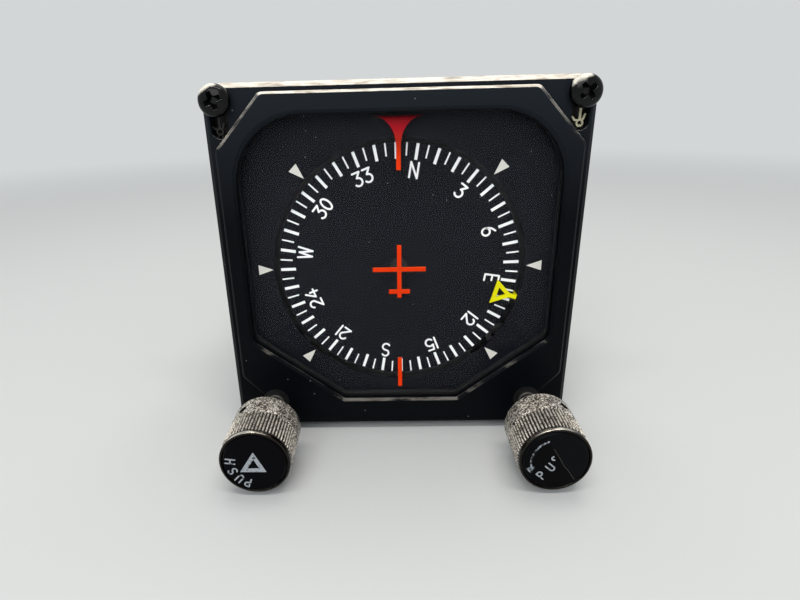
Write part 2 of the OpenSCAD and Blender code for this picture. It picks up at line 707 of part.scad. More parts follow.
// One mitre gear, its large end at the origin and its axis along +Z towards the cone's apex.
module mitre_gear(phase) {
    web_t = 1.4;
    shrink = 1 - mitre_face / mitre_r;
    difference() {
        linear_extrude(mitre_face, scale = shrink)
            gear_outline(mitre_n, mitre_r, 2 * PI * mitre_r / mitre_n, phase);
        translate([0, 0, 0.6]) cylinder(r = mitre_r - 6, h = mitre_face);
        translate([0, 0, -1]) cylinder(r = gimbal_shaft_r, h = mitre_face + 2);
    }
    translate([0, 0, 0.6 - web_t]) difference() {
        cylinder(r = mitre_r - 3, h = web_t);
        translate([0, 0, -1]) cylinder(r = gimbal_shaft_r, h = web_t + 2);
        for (a = [0:60:300]) rotate(a) translate([0.48 * mitre_r, 0, -1])
            cylinder(r = 0.16 * mitre_r, h = web_t + 2);
    }
}
module card_mitre_gear() { color("#b08d57") translate([0, mitre_y, 0]) rotate([-90, 0, 0]) mitre_gear(90); }

// Heading bug

// A hollow triangle in front of the card, on an arm that bends back round the card's edge.
module heading_bug() {
    turn = 90 - bug_angle;
    base = card_r - 5;
    tip = card_r - 0.3;
    half = bug_span / 2;
    steep = half / (tip - base);
    hole_tip = tip - bug_line * norm([1, steep]) / steep;
    hole_half = (hole_tip - base - bug_line) * steep;
    neck_half = bug_w / 2 - 0.1;
    neck = tip - neck_half / steep;
    color("#e8e000") {
        slab(bug_y, bug_y + bug_t) rotate(turn) difference() {
            polygon([[base, half], [neck, neck_half], [arm_in + bug_t / 2, neck_half],
                [arm_in + bug_t / 2, -neck_half], [neck, -neck_half], [base, -half]]);
            polygon([[hole_tip, 0], [base + bug_line, hole_half], [base + bug_line, -hole_half]]);
        }
        intersection() {
            pipe([0, 0], arm_out, arm_in, bug_y, foot_y + bug_t);
            slab(bug_y, foot_y + bug_t) rotate(turn)
                translate([arm_in - 2, -bug_w / 2]) square([4, bug_w]);
        }
        slab(foot_y, foot_y + bug_t) rotate(turn) intersection() {
            translate([ring_r - 1, -bug_w]) square([6, 2 * bug_w]);
            circle(arm_in + bug_t / 2);
        }
    }
}
module bug_ring_gear() {
    color("#b08d57") difference() {
        union() {
            slab(bug_gear_y, bug_gear_y + gear_t) setting_gear(ring_n, idler_angle - 180);
            post([0, 0], drum_r + 2.4, carrier_y, bug_gear_y + 0.5);
            post([0, 0], arm_in - 0.4, carrier_y, foot_y);
        }
        post([0, 0], drum_r + 0.1, carrier_y - 1, bug_gear_y + gear_t + 1);
    }
}
module bug_friction_ring() {
    back = bug_gear_y + gear_t;
    color("#a8aaad") pipe([0, 0], drum_r + 2.2, drum_r + 0.1, back, back + 0.4);
}

// Gimbals and rotor

module at_gimbal() { translate([0, gimbal_y, 0]) children(); }
module outer_gimbal() {
    color("#9ea2a6") at_gimbal() difference() {
        union() {
            rotate([90, 0, 0]) cylinder(r = hoop_out, h = hoop_w, center = true);
            cylinder(r = 4, h = 2 * hoop_out + 0.4, center = true);
        }
        rotate([90, 0, 0]) cylinder(r = hoop_in, h = 3 * hoop_w, center = true);
        cylinder(r = gimbal_shaft_r, h = 3 * hoop_out, center = true);
        rotate([0, 90, 0]) cylinder(r = pivot_r + 1, h = 3 * hoop_out, center = true);
    }
}
module gimbal_shafts() {
    color("#c4c6c9") at_gimbal() for (s = [0, 1]) mirror([0, 0, s]) translate([0, 0, hoop_in])
        cylinder(r = gimbal_shaft_r, h = arm_z + arm_t - hoop_in);
}
module gimbal_gear() { color("#b08d57") at_gimbal() translate([0, 0, -mitre_r]) mitre_gear(180 / mitre_n); }
// Places its child at both ends of the tilt axis, r out from the middle and pointing outwards.
module at_tilt_ends(r) {
    at_gimbal() for (s = [0, 1]) mirror([s, 0, 0]) translate([r, 0, 0]) rotate([0, 90, 0]) children();
}
// The same for the ends of the rotor's axis.
module at_rotor_ends(r) {
    for (s = [0, 1]) mirror([0, s, 0]) translate([0, r, 0]) rotate([-90, 0, 0]) children();
}
module tilt_bearings() {
    color("#b9bbbf") at_tilt_ends(hoop_in) difference() {
        cylinder(r = pivot_r + 1, h = hoop_t - 0.2);
        translate([0, 0, -1]) cylinder(r = pivot_r + run, h = hoop_t + 2);
    }
}
module air_nozzle() {
    wide = 4;
    color("#c2a25a") at_gimbal() difference() {
        intersection() {
            translate([-wide / 2, -wide / 2, -hoop_in])
                cube([wide, wide, hoop_in - norm([rotor_r, rotor_w / 2]) - pass]);
            rotate([90, 0, 0]) cylinder(r = hoop_in - 0.01, h = 2 * wide, center = true);
        }
        translate([wide / 5, 0, -hoop_in - 1]) cylinder(r = 0.5, h = hoop_in);
    }
}
module rotor_frame() {
    frame_w = 0.8 * hoop_w + 0.2;
    color("#aeb2b6") at_gimbal() difference() {
        union() {
            cylinder(r = tilt_ring_r + tilt_ring_t, h = frame_w, center = true);
            at_rotor_ends(tilt_ring_r - 0.3) cylinder(r = pivot_bearing_r + 1.2, h = tilt_ring_t + 0.4);
        }
        cylinder(r = tilt_ring_r, h = frame_w + 1, center = true);
        at_rotor_ends(tilt_ring_r - 2) cylinder(r = pivot_bearing_r, h = tilt_ring_t + 4);
        rotate([0, 90, 0]) cylinder(r = pivot_r, h = 3 * tilt_ring_r, center = true);
    }
}
module tilt_pivots() {
    color("#c4c6c9") at_tilt_ends(tilt_ring_r + 0.2) cylinder(r = pivot_r, h = hoop_out - tilt_ring_r - 0.6);
}
module rotor_bearings() {
    color("#b9bbbf") at_gimbal() at_rotor_ends(tilt_ring_r - 0.3) difference() {
        cylinder(r = pivot_bearing_r, h = tilt_ring_t + 0.4);
        translate([0, 0, -1]) cylinder(r = pivot_r + run, h = tilt_ring_t + 3);
    }
}
module gyro_rotor() {
    half = rotor_w / 2;
    web = half - 3.5;
    rim_in = rotor_r - 4;
    hub = 4;
    color("#b58a4a") at_gimbal() difference() {
        turned([[pivot_r, -half], [hub, -half], [hub, -web], [rim_in, -web], [rim_in, -half],
            [rotor_r, -half], [rotor_r, half], [rim_in, half], [rim_in, web], [hub, web],
            [hub, half], [pivot_r, half]]);
        for (i = [0:bucket_n - 1]) rotate([0, 360 * i / bucket_n, 0]) translate([rotor_r + 0.6, 0, 0])
            rotate([0, 35, 0]) cube([2.6, rotor_w - 8, 1.4], center = true);
    }
}
module rotor_shaft() {
    color("#c4c6c9") at_gimbal() rotate([90, 0, 0])
        cylinder(r = pivot_r, h = 2 * (tilt_ring_r + tilt_ring_t), center = true);
}

// Knobs, pinions, idlers and yokes. The parts of one side are the mirror of the other's.

module yoke(left) {
    gear_y = left ? bug_idler_y : card_idler_y;
    post_at = knob_at + 5.95 * unit([1, -1]);
    right_or_left(left) difference() {
        union() {
            for (y = [gear_y - yoke_back, gear_y + gear_t + yoke_gap]) slab(y, y + yoke_t) {
                link(knob_at, idler_at, guide_r);
                link(knob_at, post_at, 0.9);
            }
            post(post_at, 0.9, gear_y - yoke_back, gear_y + gear_t + yoke_back);
            if (!left) {
                slab(gear_y + gear_t + yoke_gap, gear_y + gear_t + yoke_back) link(idler_at, rod_at, 2);
                post(rod_at, rod_r, gear_y + gear_t + yoke_gap, lever_pivot.y - lever_half - 0.2);
            }
        }
        post(knob_at, shaft_r + run, 0, gear_y + gear_t + 3);
        post(idler_at, pivot_r + run, 0, gear_y + gear_t + 3);
    }
}
module knob_shaft(left) {
    gear_y = left ? bug_idler_y : card_idler_y;
    right_or_left(left) union() {
        post(knob_at, shaft_r, -knob_reach + 3, wall_y - 0.4);
        slab(gear_y, gear_y + gear_t) translate(knob_at) setting_gear(pinion_n, pinion_phase);
    }
}
module idler(left) {
    gear_y = left ? bug_idler_y : card_idler_y;
    right_or_left(left) slab(gear_y, gear_y + gear_t) translate(idler_at) difference() {
        setting_gear(idler_n, idler_phase);
        circle(pivot_r + run);
    }
}
module knob(left) {
    front = -knob_reach;
    back = front + knob_len;
    root = knob_r - knurl_depth;
    tip = knob_r - 0.06;
    right_or_left(left) translate([knob_at.x, 0, knob_at.y]) difference() {
        union() {
            turned([[0, back - collar_len], [knob_r, back - collar_len],
                [knob_r, back - 0.4], [knob_r - 0.4, back], [0, back]]);
            slab(front + 1, back - collar_len + 0.2) polygon([for (i = [0:knob_ridges - 1])
                let (a = 360 * i / knob_ridges, w = 90 / knob_ridges)
                each [on_ring(root, a - w), on_ring(tip, a - w / 3),
                    on_ring(tip, a + w / 3), on_ring(root, a + w)]]);
            turned([[0, front + 0.4], [knob_r - 0.5, front + 0.4], [knob_r - 0.2, front + 0.7],
                [knob_r - 0.2, front + 1], [0, front + 1]]);
        }
        post([0, 0], shaft_r, front + 3, back + 1);
        post([0, 0], cap_r, front - 1, front + cap_t);
        pipe([0, 0], knob_r - 1.4, shaft_r + 1.4, back - 3, back + 1);
        at_set_screw() cylinder(r = 1.05, h = 12);
    }
}
module at_set_screw() { translate([0, set_screw_y, 0]) rotate([0, set_screw_turn, 0]) children(); }
module knob_cap(left) {
    edge = cap_r - seat;
    right_or_left(left) translate([knob_at.x, -knob_reach, knob_at.y])
        turned([[0, 0], [edge - 0.3, 0], [edge, 0.3], [edge, cap_t], [0, cap_t]]);
}
module set_screw(left) {
    long = knob_r - shaft_r - 0.9;
    right_or_left(left) translate([knob_at.x, 0, knob_at.y]) at_set_screw()
        translate([0, 0, shaft_r]) difference() {
            cylinder(r = 1, h = long);
            translate([0, 0, long - 1.1]) cylinder(r = 0.5, h = 3, $fn = 6);
        }
}
module bug_yoke() { color("#a0a3a7") yoke(true); }
module bug_knob() { color("#7a736a") knob(true); }
module bug_knob_cap() { color("#0d0d0f") knob_cap(true); }
module bug_knob_shaft() { color("#8c8a84") knob_shaft(true); }
module bug_set_screw() { color("#333436") set_screw(true); }
module bug_idler() { color("#b08d57") idler(true); }
module card_yoke() { color("#a0a3a7") yoke(false); }
module card_knob() { color("#7a736a") knob(false); }
module card_knob_cap() { color("#0d0d0f") knob_cap(false); }
module card_knob_shaft() { color("#8c8a84") knob_shaft(false); }
module card_set_screw() { color("#333436") set_screw(false); }
module card_idler() { color("#b08d57") idler(false); }
module caging_lever() {
    y = lever_pivot.y;
    rod_end = rod_at.x + 1;
    brake_x = gimbal_shaft_r + 0.3 + (gimbal_y - y) * push / lever_reach + lever_half;
    color("#8f9296") translate([0, 0, -lever_z - lever_t]) linear_extrude(lever_t) difference() {
        union() {
            polygon([[lever_pivot.x, y - lever_half], [rod_end, y - lever_half], [rod_end + 1, y - 0.4],
                [rod_end + 1, y + 0.4], [rod_end, y + lever_half], [lever_pivot.x + 3, y + lever_half],
                [brake_x + lever_half, gimbal_y], [brake_x + 0.4, gimbal_y + 1],
                [brake_x - 0.4, gimbal_y + 1], [brake_x - lever_half, gimbal_y], [lever_pivot.x - 0.5, y]]);
            translate(lever_pivot) circle(2.6);
        }
        translate(lever_pivot) circle(1.2 + run);
    }
}

at_row() bezel_frame();
at_row() window_glass();
at_row() glass_gasket();
at_row() glass_retainer();
at_row() dial_mask();
at_row() index_marks();
at_row() lubber_marks();
at_row() airplane_symbol();
at_row() mounting_screws();
at_row() clip_nuts();
at_row() knob_bushes();
at_row() front_housing();
at_row() housing_screws();
at_row() case_can();
at_row() case_seals();
at_row() case_screws();
at_row() rear_housing();
at_row() filter_element();
at_row() filter_cover();
at_row() rear_screws();
at_row() connector_shell();
at_row() connector_insert();
at_row() main_frame();
at_row() frame_screws();
at_row() frame_pins();
at_row() card_bearing();
at_row() gimbal_bearings();
at_row() bug_spring();
at_row() card_spring();
at_row() compass_card();
at_row() card_hub();
at_row() card_shaft();
at_row() card_mitre_gear();
at_row() card_set_gear();
at_row() heading_bug();
at_row() bug_ring_gear();
at_row() bug_friction_ring();
at_row() outer_gimbal();
at_row() gimbal_shafts();
at_row() gimbal_gear();
at_row() tilt_bearings();
at_row() air_nozzle();
at_row() rotor_frame();
at_row() tilt_pivots();
at_row() rotor_bearings();
at_row() gyro_rotor();
at_row() rotor_shaft();
at_row() bug_yoke();
at_row() bug_knob();
at_row() bug_knob_cap();
at_row() bug_knob_shaft();
at_row() bug_set_screw();
at_row() bug_idler();
at_row() card_yoke();
at_row() card_knob();
at_row() card_knob_cap();
at_row() card_knob_shaft();
at_row() card_set_screw();
at_row() card_idler();
at_row() caging_lever();
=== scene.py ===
"""Directional gyro indicator: finishes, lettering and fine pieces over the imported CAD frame.

Sizes are in millimetres from the dial's axis at the flange's front face: x to the pilot's right,
y into the instrument and z up. Only at_row() turns them into the frame's metres.
"""
import logging
import math
from dataclasses import dataclass, field
from enum import Enum
from typing import Any, Iterable, Sequence

import bmesh
import bpy
from mathutils import Matrix, Vector


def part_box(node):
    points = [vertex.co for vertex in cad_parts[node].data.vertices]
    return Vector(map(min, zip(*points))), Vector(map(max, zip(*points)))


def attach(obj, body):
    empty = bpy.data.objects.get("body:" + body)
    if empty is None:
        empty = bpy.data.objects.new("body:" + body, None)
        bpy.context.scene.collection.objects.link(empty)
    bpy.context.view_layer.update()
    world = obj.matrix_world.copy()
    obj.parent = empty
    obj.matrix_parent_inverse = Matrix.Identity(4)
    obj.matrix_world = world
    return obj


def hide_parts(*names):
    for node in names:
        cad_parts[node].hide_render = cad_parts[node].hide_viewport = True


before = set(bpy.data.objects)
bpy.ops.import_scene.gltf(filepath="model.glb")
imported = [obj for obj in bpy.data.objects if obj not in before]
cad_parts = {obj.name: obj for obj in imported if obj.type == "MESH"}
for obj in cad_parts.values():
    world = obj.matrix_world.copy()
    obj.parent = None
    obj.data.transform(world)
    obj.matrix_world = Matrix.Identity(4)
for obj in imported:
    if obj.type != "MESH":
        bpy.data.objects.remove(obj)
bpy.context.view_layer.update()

LOG = logging.getLogger("gyro_indicator")
MM = 0.001
DIAL = Vector((0.0, -43.2, 41.4))  # the dial's centre on the flange's front face, in the row frame
SINK = 0.01  # how far ink and film reach into the face that they lie on
KNOB_AT = (31.212, -32.81)  # axis of the right-hand knob, which the left one mirrors
Point = tuple[float, float, float]
Flat = tuple[float, float]
Socket = bpy.types.NodeSocket
Tree = bpy.types.NodeTree
Object = bpy.types.Object


def at_row(p: Iterable[float]) -> Vector:
    """Returns a point, given in millimetres from the dial, in the frame's metres."""
    return (Vector(p) + DIAL) * MM


def on_clock(r: float, clock: float) -> Flat:
    """Returns x and z at radius r and an angle in degrees clockwise from the top."""
    a = math.radians(clock)
    return r * math.sin(a), r * math.cos(a)


def arc(cx: float, cy: float, rx: float, ry: float, a0: float, a1: float, n: int = 12) -> list[Flat]:
    """Returns points on part of an ellipse, with its angles anticlockwise from the right."""
    angles = [math.radians(a0 + (a1 - a0) * i / n) for i in range(n + 1)]
    return [(cx + rx * math.cos(a), cy + ry * math.sin(a)) for a in angles]


def circle(r: float, x: float = 0.0, z: float = 0.0) -> list[Flat]:
    """Returns 24 points on a circle."""
    return arc(x, z, r, r, 0, 345, 23)


def linear(code: str) -> tuple[float, float, float, float]:
    """Returns an sRGB hex colour as linear values."""
    parts = [int(code.lstrip("#")[i:i + 2], 16) / 255 for i in (0, 2, 4)]
    r, g, b = (c / 12.92 if c <= 0.04045 else ((c + 0.055) / 1.055) ** 2.4 for c in parts)
    return r, g, b, 1.0


# ---- Nodes ------------------------------------------------------------------------------------


def add_node(tree: Tree, kind: str, inputs: dict[Any, Any] | None = None, **settings: Any) -> bpy.types.Node:
    """Adds a node with its settings, socket values and links.

    Args:
        tree: The node tree that gets the node.
        kind: Blender's name for the node's type.
        inputs: Values or output sockets for its inputs, by name or number.
        **settings: Other properties of the node.

    Returns:
        The new node.
    """
    node = tree.nodes.new(kind)
    for key, value in settings.items():
        setattr(node, key, value)
    for key, value in (inputs or {}).items():
        if isinstance(value, Socket):
            tree.links.new(value, node.inputs[key])
        else:
            node.inputs[key].default_value = value
    return node


class Graph:
    """A node tree, with short ways to add what several finishes or units need."""

    def __init__(self, tree: Tree) -> None:
        """Wraps a tree."""
        self.tree = tree

    def out(self, kind: str, inputs: dict[Any, Any] | None = None, **settings: Any) -> Socket:
        """Adds a node and returns its first output."""
        return add_node(self.tree, kind, inputs, **settings).outputs[0]

    def calc(self, operation: str, *values: Any) -> Socket:
        """Returns the result of a Math node."""
        return self.out("ShaderNodeMath", dict(enumerate(values)), operation=operation)

    def measure(self, operation: str, *vectors: Any) -> Socket:
        """Returns the number that a Vector Math node finds."""
        return add_node(self.tree, "ShaderNodeVectorMath", dict(enumerate(vectors)),
                        operation=operation).outputs["Value"]

    def spread(self, value: Socket, low: float, high: float, to_low: float = 0.0, to_high: float = 1.0,
               **settings: Any) -> Socket:
        """Returns a value between low and high, mapped to 0 to 1 or to another range."""
        return self.out("ShaderNodeMapRange", {"Value": value, "From Min": low, "From Max": high,
                                               "To Min": to_low, "To Max": to_high}, **settings)

    def blend(self, share: Socket, *colours: Any) -> Socket:
        """Returns a mix of two colours, each of them a socket, a hex code or linear values."""
        ends = {6 + i: linear(c) if isinstance(c, str) else c for i, c in enumerate(colours)}
        return add_node(self.tree, "ShaderNodeMix", {"Factor": share, **ends}, data_type="RGBA").outputs[2]

    def ramp(self, factor: Socket, *stops: tuple[float, str]) -> Socket:
        """Returns the colour that a ramp of (place, hex code) stops gives a factor."""
        node = add_node(self.tree, "ShaderNodeValToRGB", {"Fac": factor})
        marks = node.color_ramp.elements
        while len(marks) < len(stops):
            marks.new(0.5)
        for mark, (place, colour) in zip(marks, stops):
            mark.position, mark.color = place, linear(colour)
        return node.outputs["Color"]

    def place(self) -> Socket:
        """Returns the Object coordinates."""
        return add_node(self.tree, "ShaderNodeTexCoord").outputs["Object"]

    def axis(self, vector: Socket, name: str) -> Socket:
        """Returns one part of a vector."""
        return add_node(self.tree, "ShaderNodeSeparateXYZ", {0: vector}).outputs[name]

    def along(self, name: str, low: float, high: float, *to: float) -> Socket:
        """Returns 0 to 1, or another range, between two places along an axis, in millimetres."""
        ends = [at_row((v, v, v))["XYZ".index(name)] for v in (low, high)]
        return self.spread(self.axis(self.place(), name), *ends, *to)

    def noise(self, size: float, detail: float = 3.0, stretch: Point = (1, 1, 1)) -> Socket:
        """Returns a noise whose features are about size millimetres across."""
        mapped = self.out("ShaderNodeMapping", {"Vector": self.place(), "Scale": stretch})
        return self.out("ShaderNodeTexNoise", {"Vector": mapped, "Scale": 500 / size, "Detail": detail})

    def cells(self, size: float) -> tuple[Socket, Socket]:
        """Returns the distance to the middle, and a random number, of cells size millimetres apart."""
        inputs = {"Vector": self.place(), "Scale": 1000 / size}
        cells = add_node(self.tree, "ShaderNodeTexVoronoi", inputs).outputs
        return cells["Distance"], self.out("ShaderNodeSeparateColor", {0: cells["Color"]})

    def specks(self, spacing: float, share: float, across: float = 0.13) -> Socket:
        """Returns 1 on specks of dust in a share of cells that are spacing millimetres apart."""
        near, lot = self.cells(spacing)
        return self.calc("MULTIPLY", self.calc("LESS_THAN", near, across / spacing),
                         self.calc("LESS_THAN", lot, share))

    def rounded(self, radius: float) -> Socket:
        """Returns the normal, as if the edges had a radius in millimetres."""
        return self.out("ShaderNodeBevel", {"Radius": radius * MM}, samples=6)

    def facing(self, way: Point, low: float, high: float) -> Socket:
        """Returns 0 to 1 as the surface, its edges rounded, turns towards a direction."""
        turned = self.measure("DOT_PRODUCT", self.rounded(0.1), Vector(way).normalized())
        return self.spread(turned, low, high)

    def seen(self) -> Socket:
        """Returns 1 for the rays of the camera, of gloss and of transmission."""
        rays = add_node(self.tree, "ShaderNodeLightPath").outputs
        return self.calc("MAXIMUM", self.calc("MAXIMUM", rays["Is Camera Ray"], rays["Is Glossy Ray"]),
                         rays["Is Transmission Ray"])

    def surface(self, share: Socket, first: Socket, second: Socket, output: str = "Material Output") -> None:
        """Ends the tree in a mix of two shaders."""
        mix = self.out("ShaderNodeMixShader", {0: share, 1: first, 2: second})
        self.tree.links.new(mix, self.tree.nodes[output].inputs["Surface"])

    def close(self, geometry: Socket, finish: Socket) -> Tree:
        """Ends a Geometry Nodes tree in Realize Instances, a merge of the seams, and Set Material."""
        real = self.out("GeometryNodeRealizeInstances", {"Geometry": geometry})
        joined = self.out("GeometryNodeMergeByDistance", {"Geometry": real, "Distance": 2e-6})
        painted = self.out("GeometryNodeSetMaterial", {"Geometry": joined, "Material": finish})
        add_node(self.tree, "NodeGroupOutput", {0: painted})
        return self.tree


# ---- Finishes ---------------------------------------------------------------------------------


@dataclass(frozen=True)
class Finish:
    """A surface finish. Its detail comes from nodes on Object coordinates, in metres."""

    name: str
    colour: str
    roughness: float
    metallic: float = 0.0
    specular: float = 0.5
    grain: float = 0.4  # size of the mottling, in millimetres
    mottle: float = 0.3  # how far the mottling darkens or lightens
    bump: float = 0.003  # depth of the surface's texture, in millimetres

    def material(self) -> bpy.types.Material:
        """Builds the material, or returns it if it is already there."""
        found = bpy.data.materials.get(self.name)
        if found:
            return found
        mat = bpy.data.materials.new(self.name)
        mat.use_nodes = True
        mat.diffuse_color = linear(self.colour)
        inputs = mat.node_tree.nodes["Principled BSDF"].inputs
        inputs["Metallic"].default_value = self.metallic
        inputs["Roughness"].default_value = self.roughness
        inputs["Base Color"].default_value = linear(self.colour)
        if not self.metallic:
            inputs["Specular IOR Level"].default_value = self.specular
        for key, socket in self.detail(Graph(mat.node_tree)).items():
            mat.node_tree.links.new(socket, inputs[key])
        return mat

    def mottled(self, g: Graph) -> Socket:
        """Returns the finish's colour, lighter and darker over patches of the grain's size."""
        pure = linear(self.colour)[:3]
        ends = ([min(1, c * much) for c in pure] + [1] for much in (1 - self.mottle, 1 + self.mottle))
        return g.blend(g.noise(self.grain), *ends)

    def uneven(self, g: Graph, size: float, detail: float, less: float, more: float) -> Socket:
        """Returns the finish's roughness, lower and higher over patches."""
        return g.spread(g.noise(size, detail), 0, 1, self.roughness - less, self.roughness + more)

    def relief(self, g: Graph, height: Socket, **under: Socket) -> Socket:
        """Returns the bumped normal of a height from 0 to 1, as deep as the finish's bump."""
        depth = {"Distance": self.bump * MM, "Strength": 1.0}
        return g.out("ShaderNodeBump", {"Height": height, **depth, **under})

    def detail(self, g: Graph) -> dict[str, Socket]:
        """Returns what feeds the shader's inputs: here a mottled colour and a fine relief."""
        return {"Base Color": self.mottled(g), "Normal": self.relief(g, g.noise(self.grain))}


@dataclass(frozen=True)
class EnamelWearAndHighlight(Finish):
    """Satin stoved enamel on cast aluminium, rubbed to the metal on its edges; the pale edges that face up
    and forwards are also a painted highlight, and the enamel is painted lighter towards the top as a sheen.
    """

    wear_and_highlight: float = 0.9  # how far the upper edges are rubbed through and painted pale as a highlight
    painted_top_sheen: str = "#17191d"  # painted sheen: the enamel's colour at the top, lighter where the overhead light's gloss falls
    edge: float = 0.18  # radius that the paint gives a sharp edge, in millimetres

    def detail(self, g: Graph) -> dict[str, Socket]:
        """Rounds the edges, and paints those that face up and forwards pale, broken up by noise: bare metal
        and a painted highlight, growing towards the top. Paints the enamel lighter towards the top as a
        sheen.
        """
        rounded = g.rounded(self.edge)
        up, front = g.spread(g.axis(rounded, "Z"), 0.3, 0.66), g.spread(g.axis(rounded, "Y"), -0.15, -0.45)
        top_highlight_share = g.along("Z", -8, 30, 0.4)  # the edge wear and the painted highlight grow towards the top, where the light falls
        faced = g.calc("MULTIPLY", g.calc("MULTIPLY", up, front), top_highlight_share)
        worn = g.calc("MULTIPLY", faced, g.noise(1.6, 5, (0.35, 1, 1)))
        bare = g.spread(worn, 0.42 - 0.3 * self.wear_and_highlight, 0.66 - 0.3 * self.wear_and_highlight)
        bare_and_highlit = g.calc("MINIMUM", bare, g.calc("POWER", top_highlight_share, 2.0))
        # pale cream on those edges: bare aluminium, and a painted highlight
        metal = g.ramp(g.noise(0.3, 3, (0.15, 1, 1)), (0.3, "#b5aa9a"), (0.55, "#fbf4e8"))
        # painted sheen: the enamel turns lighter towards the top
        paint = g.blend(g.along("Z", 12, 38), self.mottled(g), self.painted_top_sheen)
        dusty = g.blend(g.specks(3.2, 0.4), paint, "#7d8388")
        return {"Base Color": g.blend(bare_and_highlit, dusty, metal), "Roughness": self.uneven(g, 6, 4, 0.06, 0.1),
                "Normal": self.relief(g, g.noise(self.grain, 2), Normal=rounded)}


@dataclass(frozen=True)
class TurnedMetal(Finish):
    """Metal from the lathe, with fine tool marks round an axis along Y."""

    marks: float = 0.25  # spacing of the tool marks, in millimetres

    def detail(self, g: Graph) -> dict[str, Socket]:
        """Draws the tool marks as rings along Y, and dulls the metal in patches."""
        return {"Base Color": self.mottled(g), "Roughness": self.uneven(g, 2.5, 3, 0.07, 0.12),
                "Normal": self.relief(g, g.noise(self.marks, 2, (0.02, 1, 0.02)))}


@dataclass(frozen=True)
class WornKnob(Finish):
    """Black anodised aluminium that fingers have rubbed down to speckled grey-brown metal, with a painted
    highlight on the rounded edges that face up and back.
    """

    centre: Flat = (0.0, 0.0)
    crest: float = 7.7  # radius of the ridges' tops
    collar_y: float = -19.0  # where the ridges end and the smooth collar starts

    def detail(self, g: Graph) -> dict[str, Socket]:
        """Speckles the metal, keeps the dark coat in the grooves between the ridges, and paints the edges
        that face up and back lighter as a highlight.
        """
        middle = at_row((self.centre[0], 0, self.centre[1]))
        flat = g.out("ShaderNodeMapping", {"Vector": g.place(), "Location": (-middle.x, 0, -middle.z),
                                           "Scale": (1, 0, 1)})
        top = g.spread(g.measure("LENGTH", flat), (self.crest - 0.36) * MM, (self.crest - 0.1) * MM)
        fine = g.out("ShaderNodeMix", {"Factor": 0.5, 2: g.cells(0.24)[1], 3: g.noise(0.6, 4)})
        held = g.along("Y", self.collar_y + 0.3, self.collar_y - 1.5, -0.36, -0.1)  # fingers hold the ridges
        patch = g.calc("MULTIPLY_ADD", g.noise(2.5), 0.35, held)
        # painted highlight: the rounded edges that face up and back turn lighter
        edge = g.calc("MULTIPLY_ADD", g.facing((0, 0.6, 0.8), 0.84, 0.97), 0.5, patch)
        grit = g.calc("MULTIPLY_ADD", fine, 1.65, edge)
        worn = g.ramp(grit, (0.44, "#241f1b"), (0.62, "#6d645b"), (0.76, "#b3aa9f"), (0.9, "#fbf5ea"))
        return {"Base Color": g.blend(top, "#1f1b18", worn), "Normal": self.relief(g, fine)}


@dataclass(frozen=True)
class OxideWithPaintedHighlight(Finish):
    """Black oxide with a painted highlight: pale steel where a screw's head curves up, forwards and to the
    left.
    """

    def detail(self, g: Graph) -> dict[str, Socket]:
        """Paints the highlight along the upper curve, broken into small nicks by noise."""
        # painted highlight: pale where the rounded head faces up, forwards and to the left
        broken = g.calc("MULTIPLY", g.facing((-0.4, -0.42, 0.82), 0.62, 0.94), g.noise(0.7, 4))
        return {"Base Color": g.blend(g.spread(broken, 0.2, 0.42), self.mottled(g), "#f2ecdf"),
                "Normal": self.relief(g, g.noise(self.grain))}


@dataclass(frozen=True)
class RingWithPaintedHighlight(TurnedMetal):
    """A polished ring, drawn dark as a painted reflection of the dark below it, with a painted highlight
    where it faces up.
    """

    # painted reflection: the dark colour that the ring shows away from its top
    coat: str = "#2a2724"

    def detail(self, g: Graph) -> dict[str, Socket]:
        """Paints the dark reflection underneath and the highlight where the ring faces up, broken into fine
        lines round the ring.
        """
        # painted highlight where the ring faces up
        up = g.facing((-0.2, -0.1, 1.0), 0.6, 0.95)
        bare = g.spread(g.calc("MULTIPLY_ADD", g.noise(0.5, 4, (1, 3, 1)), 0.9, up), 0.7, 1.45)
        sockets = super().detail(g)
        return sockets | {"Base Color": g.blend(bare, self.coat, sockets["Base Color"])}


@dataclass(frozen=True)
class WornInk(Finish):
    """Printed ink that has come off in flakes down to the black below."""

    lost: float = 0.1  # share of the ink that is gone
    ground: str = "#0a0a0c"

    def detail(self, g: Graph) -> dict[str, Socket]:
        """Shows the black where noise is low."""
        left = g.spread(g.noise(0.35, 4), 0.3 + 0.3 * self.lost, 0.42 + 0.3 * self.lost)
        return {"Base Color": g.blend(left, self.ground, self.mottled(g))}


@dataclass(frozen=True)
class DustyPaint(Finish):
    """Matt lacquer with a few pale specks of dust."""

    def detail(self, g: Graph) -> dict[str, Socket]:
        """Scatters the specks, each about a tenth of a millimetre across."""
        return {"Base Color": g.blend(g.specks(2.6, 0.35), self.mottled(g), "#6d7278")}


@dataclass(frozen=True)
class ShadedPaint(Finish):
    """Fluorescent paint that turns darker crimson towards the top of the lubber line's flare, as painted
    shade.
    """

    # painted shade at the top of the flare
    shaded_top_colour: str = "#ec2440"
    z_from: float = 27.0
    z_to: float = 31.5

    def detail(self, g: Graph) -> dict[str, Socket]:
        """Grades the colour by height: painted shade, darker crimson towards the top."""
        return {"Base Color": g.blend(g.along("Z", self.z_from, self.z_to), self.mottled(g), self.shaded_top_colour)}


